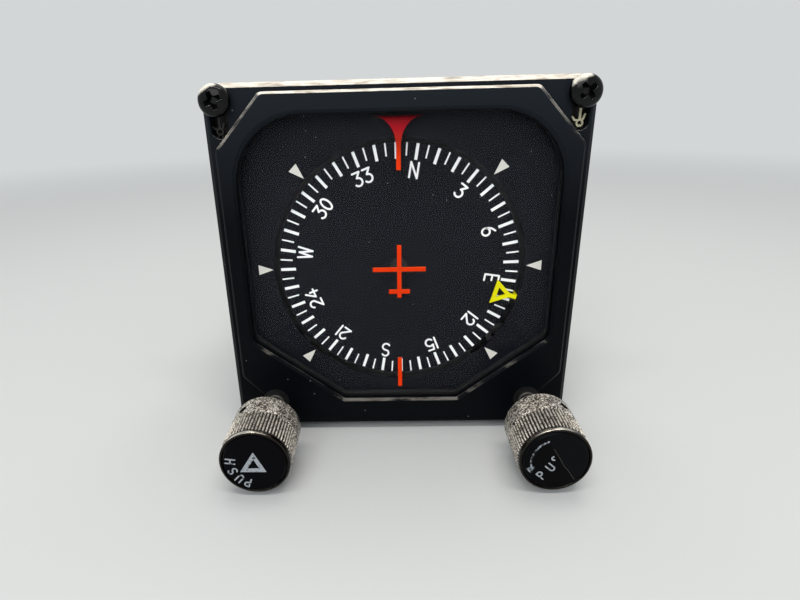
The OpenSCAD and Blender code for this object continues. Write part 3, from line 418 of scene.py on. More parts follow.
@dataclass(frozen=True)
class CoatedGlass(Finish):
    """Flat polished glass with an anti-reflection coating, which leaves only a faint gloss."""

    def detail(self, g: Graph) -> dict[str, Socket]:
        """Lets light through to the dial without a shadow, and smears the gloss very slightly."""
        shader = g.tree.nodes["Principled BSDF"]
        shader.inputs["Transmission Weight"].default_value = 1.0
        shader.inputs["IOR"].default_value = 1.12  # the coating's low reflection, as an index
        shadow = add_node(g.tree, "ShaderNodeLightPath").outputs["Is Shadow Ray"]
        g.surface(shadow, shader.outputs[0], g.out("ShaderNodeBsdfTransparent"))
        return {"Roughness": self.uneven(g, 14, 3, self.roughness, self.roughness)}


@dataclass(frozen=True)
class StudioPaper(Finish):
    """Pale background paper, which fades into an even tone away from the object."""

    near: float = 0.22  # where the even tone starts and where it is full, in metres
    far: float = 0.8

    def detail(self, g: Graph) -> dict[str, Socket]:
        """Mixes an even glow in for the rays that see the background."""
        away = g.spread(g.measure("LENGTH", g.place()), self.near, self.far, interpolation_type="SMOOTHSTEP")
        glow = g.out("ShaderNodeEmission", {"Color": linear(self.colour), "Strength": 1.0})
        g.surface(g.calc("MULTIPLY", g.seen(), away), g.tree.nodes["Principled BSDF"].outputs[0], glow)
        return {}


# Stoved satin enamel: near black, and darker than the same enamel on the can, partly as painted shade of the
# front faces; a low sheen, painted lighter towards the top; bare aluminium on the outer edges, painted pale
# as a highlight where they face up and forwards.
ENAMEL = EnamelWearAndHighlight("satin_stoved_enamel", "#06080c", 0.42, specular=0.06, grain=0.5, mottle=0.12,
                    painted_top_sheen="#1e2329")
# The same enamel on the drawn can and the rear casting, which nobody handles: hardly any wear or painted
# highlight, and none of the front's painted shade.
CASE_ENAMEL = EnamelWearAndHighlight("case_stoved_enamel", "#17191d", 0.48, specular=0.35, grain=0.7, mottle=0.15,
                         bump=0.006, wear_and_highlight=0.0, edge=0.2)
# Float glass with a coating: no colour, hardly any reflection.
GLASS = CoatedGlass("coated_float_glass", "#ffffff", 0.015, specular=0.05)
# Moulded nitrile rubber: dull black.
RUBBER = Finish("moulded_nitrile_rubber", "#141414", 0.75, grain=0.3, bump=0.02)
# Cured sealant along the glass: dark and slightly glossy.
SEALANT = Finish("grey_sealant", "#121316", 0.5, specular=0.1, bump=0.01)
# Matt dial lacquer: drinks light, with only a trace of dust.
DIAL_BLACK = DustyPaint("matt_dial_lacquer", "#090b13", 0.7, specular=0.12, grain=0.5, mottle=0.2)
# Screen-printed dial ink: off-white on the card, pale grey on the mask's index marks.
DIAL_INK = Finish("white_dial_ink", "#e6e8ea", 0.6, specular=0.3, grain=0.3, mottle=0.05)
INDEX_INK = Finish("pale_grey_index_ink", "#c9c8c2", 0.6, specular=0.3, grain=0.3, mottle=0.06)
# Fluorescent orange-red enamel, brushed on the glass's inner face, with painted shade in darker crimson at
# the flare's top.
ORANGE = ShadedPaint("fluorescent_orange_paint", "#ff5a08", 0.55, specular=0.3, grain=0.5, mottle=0.05)
# Fluorescent yellow enamel of the heading bug: flat, without gloss.
YELLOW = Finish("fluorescent_yellow_paint", "#cfcd00", 0.5, specular=0.08, mottle=0.06, bump=0.004)
# Black oxide on steel, oiled: glossy black, with a highlight painted along the head's upper curve.
BLACK_STEEL = OxideWithPaintedHighlight("black_oxide_steel", "#060607", 0.16, specular=0.2, grain=0.5, bump=0.006)
# The same oxide on the case's screws and the set screws, without the painted highlight.
PLAIN_OXIDE = Finish("plain_black_oxide", "#101012", 0.34, specular=0.45, bump=0.006)
# The same oxide inside a recess or a hole, without the painted highlight: matt and oily.
RECESS = Finish("oily_recess_oxide", "#070708", 0.35, specular=0.3, grain=0.3, bump=0.008)
# Yellow chromate on spring steel, half rubbed off, and its dark twin.
YELLOW_CLIP = TurnedMetal("yellow_chromate_spring_steel", "#d8d0b0", 0.4, 0.3, grain=0.35, mottle=0.5,
                          bump=0.01)
DARK_CLIP = Finish("dark_oiled_spring_steel", "#1e1c1a", 0.35, 0.4, grain=0.5, mottle=0.4, bump=0.01)
# Bearing bronze under the frame's black paint: only its edge shows a trace of metal.
BRONZE = TurnedMetal("painted_bearing_bronze", "#0a0a0a", 0.5, 0.1, grain=0.8, bump=0.006)
# Zinc-plated washer steel, gone dull.
WASHER = Finish("dull_zinc_plate", "#4f4e4b", 0.5, 0.5, bump=0.008)
# Pressed wool felt of the air filter.
FELT = Finish("pressed_wool_felt", "#b7ae9b", 0.95, specular=0.1, grain=0.35, bump=0.12)
# Ground and polished bearing steel.
STEEL = TurnedMetal("ground_bearing_steel", "#b9babd", 0.24, 1.0, grain=1.5, mottle=0.1)
# Hard-drawn spring wire: dark, smooth, oiled.
SPRING_WIRE = TurnedMetal("hard_drawn_spring_wire", "#85878c", 0.28, 1.0, grain=0.6, mottle=0.2)
# Dull nickel plate over brass.
NICKEL = TurnedMetal("dull_nickel_plate", "#8d8a83", 0.35, 1.0, grain=1.0, mottle=0.15, bump=0.004)
# Gold flash over brass on the connector's pins.
GOLD = TurnedMetal("gold_flashed_brass", "#d8b25a", 0.22, 1.0, grain=0.8, mottle=0.1, bump=0.002)
# Moulded phenolic: hard and black, with a faint flow pattern.
PHENOLIC = Finish("moulded_phenolic", "#17171a", 0.4, grain=1.0, mottle=0.25, bump=0.01)
# Sand-cast aluminium: grey, grainy, satin.
CAST = Finish("sand_cast_aluminium", "#9a9ca0", 0.5, 1.0, grain=0.5, mottle=0.15, bump=0.03)
# Cut gear brass: warm, with the cutter's lines.
BRASS = TurnedMetal("cut_gear_brass", "#b5924f", 0.3, 1.0, grain=2.0, mottle=0.12, bump=0.005)
# Chemically blackened metal close behind the dial, where a bright gear or shaft would glint.
DARK_METAL = TurnedMetal("chemically_blackened_metal", "#0b0b0c", 0.6, 0.1, grain=2.0, mottle=0.2)
# Polished aluminium of the knob's front ring: a painted highlight on top, and black elsewhere as a painted
# reflection of the dark below.
RING = RingWithPaintedHighlight("polished_aluminium_ring", "#d8d2c6", 0.22, 1.0, grain=0.6, bump=0.004)
# Glossy acrylic cap: deep black with a hard highlight.
CAP = Finish("glossy_black_acrylic", "#030306", 0.14, specular=0.05, grain=0.8, bump=0.002)
# The card's cap where its lacquer has flaked off: greyer and duller; and the lacquer that is left.
BARE_CAP = Finish("bared_acrylic", "#06070a", 0.3, specular=0.06, grain=0.8)
CAP_FILM = Finish("lacquer_film", "#040406", 0.2, specular=0.05, grain=0.8, bump=0.004)
# Grey printed ink of the caps, and the same ink where the lacquer under it has flaked.
CAP_INK = WornInk("grey_cap_ink", "#a3a9b0", 0.6, specular=0.3, grain=0.25, mottle=0.15)
FLAKED_INK = WornInk("flaked_cap_ink", "#9aa2ab", 0.6, specular=0.3, grain=0.25, mottle=0.2, lost=0.42)
# The dusty lip of the crack across that cap.
CRACK = Finish("dusty_crack_lip", "#57524d", 0.6, specular=0.2, grain=0.3, mottle=0.4)
# Pale matt background paper.
PAPER = StudioPaper("pale_studio_paper", "#d3d6d7", 0.9, specular=0.1)


# ---- Meshes -----------------------------------------------------------------------------------


def outward(mesh: bpy.types.Mesh, merge: bool = True) -> None:
    """Turns a closed mesh's normals outwards, as a rule after merging its doubles."""
    work = bmesh.new()
    work.from_mesh(mesh)
    if merge:
        bmesh.ops.remove_doubles(work, verts=work.verts, dist=1e-6)
    bmesh.ops.recalc_face_normals(work, faces=work.faces)
    work.to_mesh(mesh)
    work.free()


def round_off(mesh: bpy.types.Mesh, angle: float) -> None:
    """Shades the edges smooth that turn by less than an angle in degrees."""
    mesh.shade_smooth()
    mesh.set_sharp_from_angle(angle=math.radians(angle))


def link(name: str, data: Any) -> Object:
    """Makes an object of its data and links it to the scene."""
    obj = bpy.data.objects.new(name, data)
    bpy.context.scene.collection.objects.link(obj)
    return obj


class Shell:
    """Gathers the closed forms of one piece, in millimetres, and makes them an object."""

    def __init__(self) -> None:
        """Starts with no faces."""
        self.points: list[Point] = []
        self.faces: list[list[int]] = []

    def add(self, points: Sequence[Point], faces: Iterable[Sequence[int]]) -> None:
        """Adds points and faces that index them."""
        start = len(self.points)
        self.points += list(points)
        self.faces += [[start + i for i in face] for face in faces]

    def tube(self, rings: Sequence[Sequence[Point]], loop: bool = False) -> None:
        """Adds rings of as many points each, joined in order, with end caps or back to the first."""
        n, m = len(rings[0]), len(rings)
        faces = [[a * n + i, (a + 1) % m * n + i, (a + 1) % m * n + (i + 1) % n, a * n + (i + 1) % n]
                 for a in range(m if loop else m - 1) for i in range(n)]
        caps = [] if loop else [range(n), range(m * n - 1, (m - 1) * n - 1, -1)]
        self.add([p for ring in rings for p in ring], faces + caps)

    def prism(self, outline: Sequence[Flat], y0: float, y1: float) -> None:
        """Adds a flat outline in x and z, made solid from y0 back to y1."""
        self.tube([[(x, y, z) for x, z in outline] for y in (y0, y1)])

    def frame(self, outer: Sequence[Flat], inner: Sequence[Flat], y0: float, y1: float) -> None:
        """Adds the band between two outlines with the same number of points, made solid."""
        self.tube([[(x, y, z) for x, z in line]
                   for line, y in ((outer, y0), (outer, y1), (inner, y1), (inner, y0))], loop=True)

    def ribbon(self, line: Sequence[Flat], half: float, y0: float, y1: float) -> None:
        """Adds a flat painted line with round ends along a smooth line of points.

        Args:
            line: The points that the middle of the line passes. A closed line ends where it starts.
            half: Half the line's width.
            y0: Front of the paint.
            y1: Back of the paint.
        """
        closed = math.dist(line[0], line[-1]) < 1e-6
        pts = [Vector(p) for p in (line[:-1] if closed else line)]
        legs = [(b - a).normalized() for a, b in zip(pts, pts[1:] + (pts[:1] if closed else []))]
        n, left, right = len(pts), [], []
        for i, p in enumerate(pts):
            into, away = (legs[i - 1], legs[i]) if closed else (legs[max(i - 1, 0)], legs[min(i, n - 2)])
            way = (into + away).normalized()
            side = Vector((-way.y, way.x)) * half / max(0.5, way.dot(into))
            left.append(p + side)
            right.append(p - side)
        if closed:
            self.frame(left, right, y0, y1)
            return
        caps = []
        for end, first in ((pts[-1], left[-1]), (pts[0], right[0])):
            start = math.degrees(math.atan2(first.y - end.y, first.x - end.x))
            caps.append(arc(end.x, end.y, half, half, start - 30, start - 150, 4))
        outline = left + caps[0] + right[::-1] + caps[1]
        m, back = len(outline), 2 * n + 4  # back is the place of right[0] in the outline
        flat = [[i, i + 1, back - i - 1, back - i] for i in range(n - 1)]
        flat += [list(range(n - 1, n + 6)), list(range(back, m)) + [0]]
        self.add([(x, y, z) for y in (y0, y1) for x, z in outline],
                 flat + [[m + i for i in face[::-1]] for face in flat]
                 + [[i, m + i, m + (i + 1) % m, (i + 1) % m] for i in range(m)])

    def lathe(self, profile: Sequence[Flat], at: Flat = (0, 0), steps: int = 64) -> None:
        """Adds a profile of (radius, y) points turned round an axis along Y. Its ends lie on the axis
        or it runs back to its start."""
        points, rows, faces = [], [], []
        for r, y in profile:
            spots = [on_clock(r, 360 * i / steps) for i in range(steps if r > 0 else 1)]
            rows.append([len(points) + i for i in range(len(spots))])
            points += [(at[0] + x, y, at[1] + z) for x, z in spots]
        if profile[0][0] > 0:
            rows.append(rows[0])
        for a, b in zip(rows, rows[1:]):
            for i in range(steps):
                ring = (a[i % len(a)], b[i % len(b)], b[(i + 1) % len(b)], a[(i + 1) % len(a)])
                faces.append(list(dict.fromkeys(ring)))  # a row on the axis has one point, which stays once
        self.add(points, faces)

    def thread(self, at: Flat, r: float, depth: float, pitch: float, y0: float, y1: float,
               steps: int = 20) -> None:
        """Adds a screw thread along Y, closed at both ends."""
        last, rings = int((y1 - y0) / pitch * 6), []
        for k in range(last + 1):
            y = y0 + (y1 - y0) * k / last
            fade = min(1.0, (last - k) / 6, k / 6 + 0.2)
            cuts = [depth * (1 - fade * abs(2 * ((y / pitch - i / steps) % 1) - 1)) for i in range(steps)]
            spots = [on_clock(r - cut, 360 * i / steps) for i, cut in enumerate(cuts)]
            rings.append([(at[0] + x, y, at[1] + z) for x, z in spots])
        self.tube(rings)

    def object(self, name: str, finish: Finish, smooth: float = 0.0, local: bool = False) -> Object:
        """Makes the object.

        Args:
            name: The object's name.
            finish: Its finish.
            smooth: Angle in degrees under which edges are shaded smooth.
            local: Whether the points are left in millimetres from their own centre, with their normals
                as they are, for a unit or a tool that is placed later.

        Returns:
            The object, linked to the scene.
        """
        mesh = bpy.data.meshes.new(name)
        mesh.from_pydata([Vector(p) * MM if local else at_row(p) for p in self.points], [], self.faces)
        if not local:
            outward(mesh, merge=False)
        mesh.materials.append(finish.material())
        if smooth:
            round_off(mesh, smooth)
        return link(name, mesh)


def settle(obj: Object) -> None:
    """Replaces an object's mesh by its evaluated one and removes its modifiers."""
    bpy.context.view_layer.update()
    shape = bpy.data.meshes.new_from_object(obj.evaluated_get(bpy.context.evaluated_depsgraph_get()))
    obj.modifiers.clear()
    obj.data = shape


def cut_away(obj: Object, tool: Object, overlaps: bool = False) -> None:
    """Cuts one closed object out of another and removes it. The cut faces keep the tool's finish."""
    cut = obj.modifiers.new("cut", "BOOLEAN")
    cut.operation, cut.object, cut.solver = "DIFFERENCE", tool, "EXACT"
    cut.material_mode, cut.use_self = "TRANSFER", overlaps
    settle(obj)
    bpy.data.objects.remove(tool)


def hand_over(obj: Object, body: str, slot: str, *nodes: str) -> None:
    """Makes a piece ride on a body, and stands it in for CAD nodes."""
    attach(obj, body)
    if nodes:
        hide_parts(*nodes)
    LOG.info("%s on %s: %d faces", obj.name, body, len(obj.data.polygons))


# ---- Geometry Nodes trees ---------------------------------------------------------------------


def new_tree(name: str, **kinds: str) -> tuple[Graph, Any]:
    """Starts a Geometry Nodes tree.

    Args:
        name: The tree's name.
        **kinds: Type of each input after the geometry, by the input's name.

    Returns:
        The tree's graph and its input sockets.
    """
    tree = bpy.data.node_groups.new(name, "GeometryNodeTree")
    for label, kind in {"Geometry": "Geometry", **kinds}.items():
        tree.interface.new_socket(label, in_out="INPUT", socket_type=f"NodeSocket{kind}")
    tree.interface.new_socket("Geometry", in_out="OUTPUT", socket_type="NodeSocketGeometry")
    return Graph(tree), add_node(tree, "NodeGroupInput").outputs


def ring_tree() -> Tree:
    """Builds the tree that repeats a unit round an axis along Y."""
    g, given = new_tree("ring_of_copies", Count="Int", Turn="Float", Centre="Vector", Finish="Material")
    points = g.out("GeometryNodePoints", {"Count": given["Count"], "Position": given["Centre"]})
    step = g.calc("DIVIDE", math.tau, given["Count"])
    turn = g.calc("MULTIPLY_ADD", g.out("GeometryNodeInputIndex"), step, given["Turn"])
    about = g.out("ShaderNodeCombineXYZ", {"Y": turn})
    copies = g.out("GeometryNodeInstanceOnPoints", {"Points": points, "Instance": given["Geometry"],
                                                    "Rotation": about})
    return g.close(copies, given["Finish"])


def coil_tree() -> Tree:
    """Builds the tree that winds a wire into a coil along Y."""
    g, given = new_tree("wound_coil", Turns="Float", Radius="Float", Length="Float", Wire="Float",
                        Centre="Vector", Finish="Material")
    coil = g.out("GeometryNodeCurveSpiral", {"Resolution": 28, "Rotations": given["Turns"],
                                             "Start Radius": given["Radius"], "End Radius": given["Radius"],
                                             "Height": given["Length"]})
    wire = g.out("GeometryNodeCurvePrimitiveCircle", {"Resolution": 10, "Radius": given["Wire"]})
    tube = g.out("GeometryNodeCurveToMesh", {"Curve": coil, "Profile Curve": wire, "Fill Caps": True})
    laid = g.out("GeometryNodeTransform", {"Geometry": tube, "Translation": given["Centre"],
                                           "Rotation": (-math.pi / 2, 0, 0)})
    return g.close(g.out("GeometryNodeSetShadeSmooth", {"Geometry": laid}), given["Finish"])


def bead_tree() -> Tree:
    """Builds the tree that lays a round bead along a closed line of edges."""
    g, given = new_tree("laid_bead", Thickness="Float", Finish="Material")
    line = g.out("GeometryNodeMeshToCurve", {"Mesh": given["Geometry"]})
    section = g.out("GeometryNodeCurvePrimitiveCircle", {"Resolution": 8, "Radius": given["Thickness"]})
    bead = g.out("GeometryNodeCurveToMesh", {"Curve": line, "Profile Curve": section})
    return g.close(g.out("GeometryNodeSetShadeSmooth", {"Geometry": bead}), given["Finish"])


def grow(obj: Object, tree: Tree, finish: Finish, smooth: float = 0.0, **values: Any) -> None:
    """Runs a tree on an object and keeps the result as its plain mesh.

    Args:
        obj: The object whose mesh is the tree's geometry.
        tree: The tree.
        finish: The result's finish.
        smooth: Angle in degrees under which the result's edges are shaded smooth.
        **values: The tree's other inputs by name.
    """
    step = obj.modifiers.new(tree.name, "NODES")
    step.node_group, values["Finish"] = tree, finish.material()
    for socket in tree.interface.items_tree:
        if socket.in_out == "INPUT" and socket.name in values:
            step[socket.identifier] = values[socket.name]
    settle(obj)
    if smooth:
        round_off(obj.data, smooth)


# ---- Lettering --------------------------------------------------------------------------------

# Centre lines of the strokes, one unit tall. A stroke is split at its sharp corners.
GLYPHS: dict[str, list[list[Flat]]] = {
    "0": [arc(0, 0.5, 0.27, 0.5, 90, 450, 28)],
    "1": [[(0, 0), (0, 1)]],
    "2": [arc(0, 0.7, 0.28, 0.3, 165, -25, 14) + [(-0.29, 0.0)], [(-0.29, 0.0), (0.3, 0.0)]],
    "3": [[(-0.27, 1), (0.27, 1)], [(0.27, 1), (-0.04, 0.6)],
          [(-0.04, 0.6)] + arc(-0.02, 0.3, 0.3, 0.3, 80, -145, 16)],
    "4": [[(0.1, 1), (-0.33, 0.3)], [(-0.33, 0.3), (0.34, 0.3)], [(0.13, 0.62), (0.13, 0)]],
    "5": [[(0.25, 1), (-0.2, 1)], [(-0.2, 1), (-0.25, 0.56)],
          [(-0.25, 0.56)] + arc(-0.02, 0.32, 0.31, 0.32, 110, -145, 16)],
    "6": [[(0.16, 1.0), (-0.08, 0.82), (-0.22, 0.6)] + arc(0, 0.3, 0.29, 0.3, 165, 525, 26)],
    "N": [[(-0.26, 0), (-0.26, 1)], [(-0.26, 1), (0.26, 0)], [(0.26, 0), (0.26, 1)]],
    "E": [[(-0.22, 0), (-0.22, 1)], [(-0.22, 1), (0.23, 1)], [(-0.22, 0.52), (0.17, 0.52)],
          [(-0.22, 0), (0.23, 0)]],
    "S": [arc(0, 0.755, 0.24, 0.245, 35, 235, 12) + arc(0, 0.255, 0.26, 0.255, 72, -145, 14)],
    "W": [[(-0.38, 1), (-0.2, 0)], [(-0.2, 0), (0, 0.92)], [(0, 0.92), (0.2, 0)], [(0.2, 0), (0.38, 1)]],
    "P": [[(-0.24, 0), (-0.24, 1)],
          [(-0.24, 1)] + arc(0.02, 0.74, 0.24, 0.26, 90, -90, 10) + [(-0.24, 0.48)]],
    "U": [[(-0.26, 1)] + arc(0, 0.27, 0.26, 0.27, 180, 360, 12) + [(0.26, 1)]],
    "H": [[(-0.26, 0), (-0.26, 1)], [(0.26, 0), (0.26, 1)], [(-0.26, 0.5), (0.26, 0.5)]],
}


@dataclass(frozen=True)
class Lettering:
    """Stroke lettering of one height and line width, painted on a flat face."""

    height: float
    line: float
    face_y: float
    thick: float = 0.04
    gap: float = 0.5  # between the glyphs of one word, in millimetres
    lift: float = 0.002  # how much higher each stroke lies than the last, so that none share a face

    def word(self, shell: Shell, text: str, at: Flat, turn: float) -> None:
        """Paints a word centred on a point.

        Args:
            shell: The piece that gets the strokes.
            text: The word.
            at: Its middle, in x and z.
            turn: Its turn clockwise in degrees.
        """
        tall = self.height - self.line
        reach = {c: [u for stroke in GLYPHS[c] for u, _ in stroke] for c in text}
        widths = [(max(reach[c]) - min(reach[c])) * tall + self.line for c in text]
        left = -(sum(widths) + self.gap * (len(text) - 1)) / 2
        across, up = Vector(on_clock(1, turn + 90)), Vector(on_clock(1, turn))
        layer = 0
        for c, w in zip(text, widths):
            middle = left + w / 2 - (max(reach[c]) + min(reach[c])) / 2 * tall
            for stroke in GLYPHS[c]:
                line = [Vector(at) + across * (middle + u * tall) + up * (v - 0.5) * tall for u, v in stroke]
                front = self.face_y - self.thick - self.lift * layer
                shell.ribbon(line, self.line / 2, front, self.face_y + SINK)
                layer += 1
            left += w + self.gap


# ---- Sub-assemblies ---------------------------------------------------------------------------


class Side(Enum):
    """The two sides, with the heading bug's knob on the left and the card's on the right."""

    LEFT = -1
    RIGHT = 1

    @property
    def label(self) -> str:
        """The side's word in the names of pieces."""
        return self.name.lower()


@dataclass
class FrontFrame:
    """The sealing bead where the glass meets the window's sill."""

    window: tuple[Point, ...] = (  # x, z and radius of each corner
        (-35.4, 35.1, 15.0), (-35.4, -16.59, 2.5), (-14.02, -32.6, 1.5),
        (14.02, -32.6, 1.5), (35.4, -16.59, 2.5), (35.4, 35.1, 15.0))
    glass_y: float = -0.5
    bead_r: float = 0.14

    def outline(self, inset: float) -> list[Flat]:
        """Returns the window's outline with round corners, drawn in by inset."""
        pts = [Vector(p[:2]) for p in self.window]
        line = []
        for i, p in enumerate(pts):
            a, b = (pts[i - 1] - p).normalized(), (pts[(i + 1) % len(pts)] - p).normalized()
            half = math.acos(max(-1, min(1, a.dot(b)))) / 2
            r = max(self.window[i][2] - inset, 0.2)
            corner = p + (a + b).normalized() * inset / math.sin(half)
            mid = corner + (a + b).normalized() * r / math.sin(half)
            ends = [corner + way * r / math.tan(half) - mid for way in (a, b)]
            start, stop = (math.degrees(math.atan2(end.y, end.x)) for end in ends)
            turn = (stop - start + 540) % 360 - 180
            line += arc(mid.x, mid.y, r, r, start, start + turn, max(4, int(r * 1.2)))
        return line

    def build(self, tree: Tree) -> None:
        """Lays the bead."""
        line = self.outline(self.bead_r * 0.8)
        mesh = bpy.data.meshes.new("sealing_bead")
        mesh.from_pydata([at_row((x, self.glass_y - self.bead_r * 0.3, z)) for x, z in line],
                         [(i, (i + 1) % len(line)) for i in range(len(line))], [])
        obj = link("sealing_bead", mesh)
        grow(obj, tree, SEALANT, Thickness=self.bead_r * MM)
        hand_over(obj, "case", "black_rubber")


@dataclass
class CompassRose:
    """The card's ring of bars and its stroke lettering, tops outwards."""

    turn: float = 9.03
    face_y: float = 4.6
    rim: float = 28.5
    long_bar: Flat = (0.68, 3.6)  # width and length
    short_bar: Flat = (0.35, 2.9)
    letter_r: float = 22.6
    digit_r: float = 22.45
    headings: tuple[str, ...] = ("N", "3", "6", "E", "12", "15", "S", "21", "24", "W", "30", "33")

    def bars(self, name: str, size: Flat, first: float, tree: Tree) -> None:
        """Paints 36 bars of one size, the first at an angle clockwise from the card's north."""
        unit = Shell()
        w, inner = size[0] / 2, self.rim - size[1]
        unit.prism([(-w, inner), (w, inner), (w, self.rim), (-w, self.rim)], -0.04, SINK)
        obj = unit.object(name, DIAL_INK, local=True)
        outward(obj.data)
        grow(obj, tree, DIAL_INK, Count=36, Turn=math.radians(self.turn + first),
             Centre=at_row((0, self.face_y, 0)))
        hand_over(obj, "card", "index_grey")

    def build(self, tree: Tree) -> None:
        """Paints the bars and the twelve headings."""
        self.bars("ten_degree_bars", self.long_bar, 0, tree)
        self.bars("five_degree_bars", self.short_bar, 5, tree)
        marks = Shell()
        letters, digits = Lettering(3.85, 0.45, self.face_y), Lettering(3.5, 0.45, self.face_y, gap=0.32)
        for i, text in enumerate(self.headings):
            clock = self.turn + 30 * i
            style, r = (letters, self.letter_r) if text in "NESW" else (digits, self.digit_r)
            style.word(marks, text, on_clock(r, clock), clock)
        hand_over(marks.object("heading_numerals", DIAL_INK), "card", "index_grey")


@dataclass
class SettingKnob:
    """A knurled knob with a smooth collar, a polished front ring and a lettered cap."""

    side: Side
    front: float = -27.6
    length: float = 14.35
    r: float = 7.7
    collar: float = 5.75
    ridges: int = 64
    groove: float = 0.42
    run_out: float = 1.1
    bore: float = 1.5
    screw_r: float = 1.05
    screw_clock: float = 35.0  # the set screw's angle from the top, away from the dial
    cap_r: float = 6.45
    ink: float = 0.03  # thickness of the caps' ink and film
    ring: tuple[Flat, ...] = (  # radius and distance from the front, round the front ring's section
        (6.94, 1.22), (6.94, 0.34), (7.02, 0.24), (7.28, 0.22), (7.44, 0.32), (7.5, 0.46), (7.46, 0.66),
        (7.5, 0.74), (7.5, 1.08), (7.42, 1.22))
    washer: tuple[Flat, ...] = ((1.66, 0), (1.66, -0.5), (1.95, -0.5), (2.1, -0.35), (2.1, 0))

    @property
    def centre(self) -> Flat:
        """The knob's axis in x and z."""
        return self.side.value * KNOB_AT[0], KNOB_AT[1]

    @property
    def body(self) -> str:
        """The CAD body that the knob turns with."""
        return "bug_knob" if self.side is Side.LEFT else "card_knob"

    @property
    def finish(self) -> WornKnob:
        """The knob's worn metal, centred on its own axis."""
        return WornKnob(f"worn_anodised_{self.body}", "#6f675c", 0.42, 0.35, bump=0.05,
                        centre=self.centre, crest=self.r)

    def depth(self, y: float) -> float:
        """Returns the grooves' depth at a distance from the knob's front. They run out in a curve."""
        end = self.length - self.collar
        if y >= end:
            return 0.0
        return self.groove * min(1.0, math.sqrt(1 - max(0.0, 1 - (end - y) / self.run_out) ** 2))

    def profile(self) -> list[Point]:
        """Returns the closed section as radius, distance from the front, and share of the groove."""
        end, r, back, bore = self.length - self.collar, self.r, self.length, self.bore
        start = 1.66  # where the ridges start
        rows = [(bore, back - 0.2, 0), (bore, 1.25, 0), (7.0, 1.25, 0), (7.0, 1.38, 0), (r - 0.4, 1.38, 0),
                (r - 0.36, 1.5, 0.2), (r - 0.05, start, 1)]
        rows += [(r, start + (end - self.run_out - start) * k / 3, 1) for k in range(1, 4)]
        rows += [(r, end - self.run_out * (1 - k / 7), 1) for k in range(1, 8)]
        rows += [(r, end + 0.25, 0), (r, back - 2.5, 0), (r, back - 0.45, 0), (r - 0.13, back - 0.13, 0),
                 (r - 0.45, back, 0), (r - 1.4, back, 0), (r - 1.4, back - 3, 0), (bore + 1.4, back - 3, 0),
                 (bore + 1.4, back, 0), (bore + 0.2, back, 0)]
        return rows

    def sector(self) -> Object:
        """Makes one ridge's share of the knob, which the ring of copies closes."""
        shell, across, rows = Shell(), 6, self.profile()
        for r, y, share in rows:
            for k in range(across + 1):
                cut = share * self.depth(y) * (0.5 - 0.5 * math.cos(math.tau * k / across)) ** 0.8
                x, z = on_clock(r - cut, 360 / self.ridges * k / across)
                shell.points.append((x, y, z))
        n, w = len(rows), across + 1
        shell.faces = [[a * w + k, a * w + k + 1, (a + 1) % n * w + k + 1, (a + 1) % n * w + k]
                       for a in range(n) for k in range(across)]
        return shell.object(f"{self.body}_knurled", self.finish, local=True)

    def drill(self, obj: Object) -> None:
        """Cuts the set screw's hole into the collar."""
        x, z = self.centre
        hole = Shell()
        hole.lathe([(0, 3), (self.screw_r, 3), (self.screw_r, 12), (0, 12)], steps=20)
        tool = hole.object("set_screw_hole", RECESS, local=True)
        place = Matrix.Translation(at_row((x, self.front + self.length - self.collar / 2 - 0.6, z)))
        swing = Matrix.Rotation(math.radians(self.screw_clock * self.side.value), 4, "Y")
        tool.data.transform(place @ swing @ Matrix.Rotation(math.radians(90), 4, "X"))
        outward(tool.data)
        cut_away(obj, tool)

    def build(self, tree: Tree) -> None:
        """Makes the knurled body, the front ring, the shaft's washer and the cap's markings."""
        (x, z), f = self.centre, self.front
        obj = self.sector()
        grow(obj, tree, self.finish, Count=self.ridges, Turn=0.0, Centre=at_row((x, f, z)))
        outward(obj.data)
        self.drill(obj)
        round_off(obj.data, 38)
        hand_over(obj, self.body, "worn_knob", self.body)
        ring, washer = Shell(), Shell()
        ring.lathe([(r, f + y) for r, y in self.ring], (x, z), 96)
        hand_over(ring.object(f"{self.body}_front_ring", RING, 40), self.body, "worn_knob")
        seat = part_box("knob_bushes")[0][1] / MM - DIAL.y
        washer.lathe([(r, seat + y) for r, y in self.washer], (x, z), 40)
        hand_over(washer.object(f"shaft_washer_{self.side.label}", WASHER, 30), "case", "bright_steel")
        if self.side is Side.LEFT:
            self.bug_cap_marks()
        else:
            self.card_cap_marks()

    def spots(self, points: Iterable[Flat]) -> list[Flat]:
        """Returns places given from the knob's axis."""
        return [(self.centre[0] + x, self.centre[1] + z) for x, z in points]

    def bug_cap_marks(self) -> None:
        """Paints the word round the cap's edge and the hollow triangle."""
        marks, style = Shell(), Lettering(2.3, 0.33, self.front, self.ink)
        for c, clock in zip("PUSH", (201, 223, 249, 277)):
            style.word(marks, c, self.spots([on_clock(5.05, clock)])[0], clock)
        outer = self.spots([(0, 2.86), (-3.16, -2.03), (2.42, -2.07)])
        inner = self.spots([(-0.09, 1.1), (-1.53, -1.14), (0.96, -1.1)])
        marks.frame(outer, inner, self.front - self.ink, self.front + SINK)
        hand_over(marks.object("bug_cap_marks", CAP_INK), self.body, "index_grey")

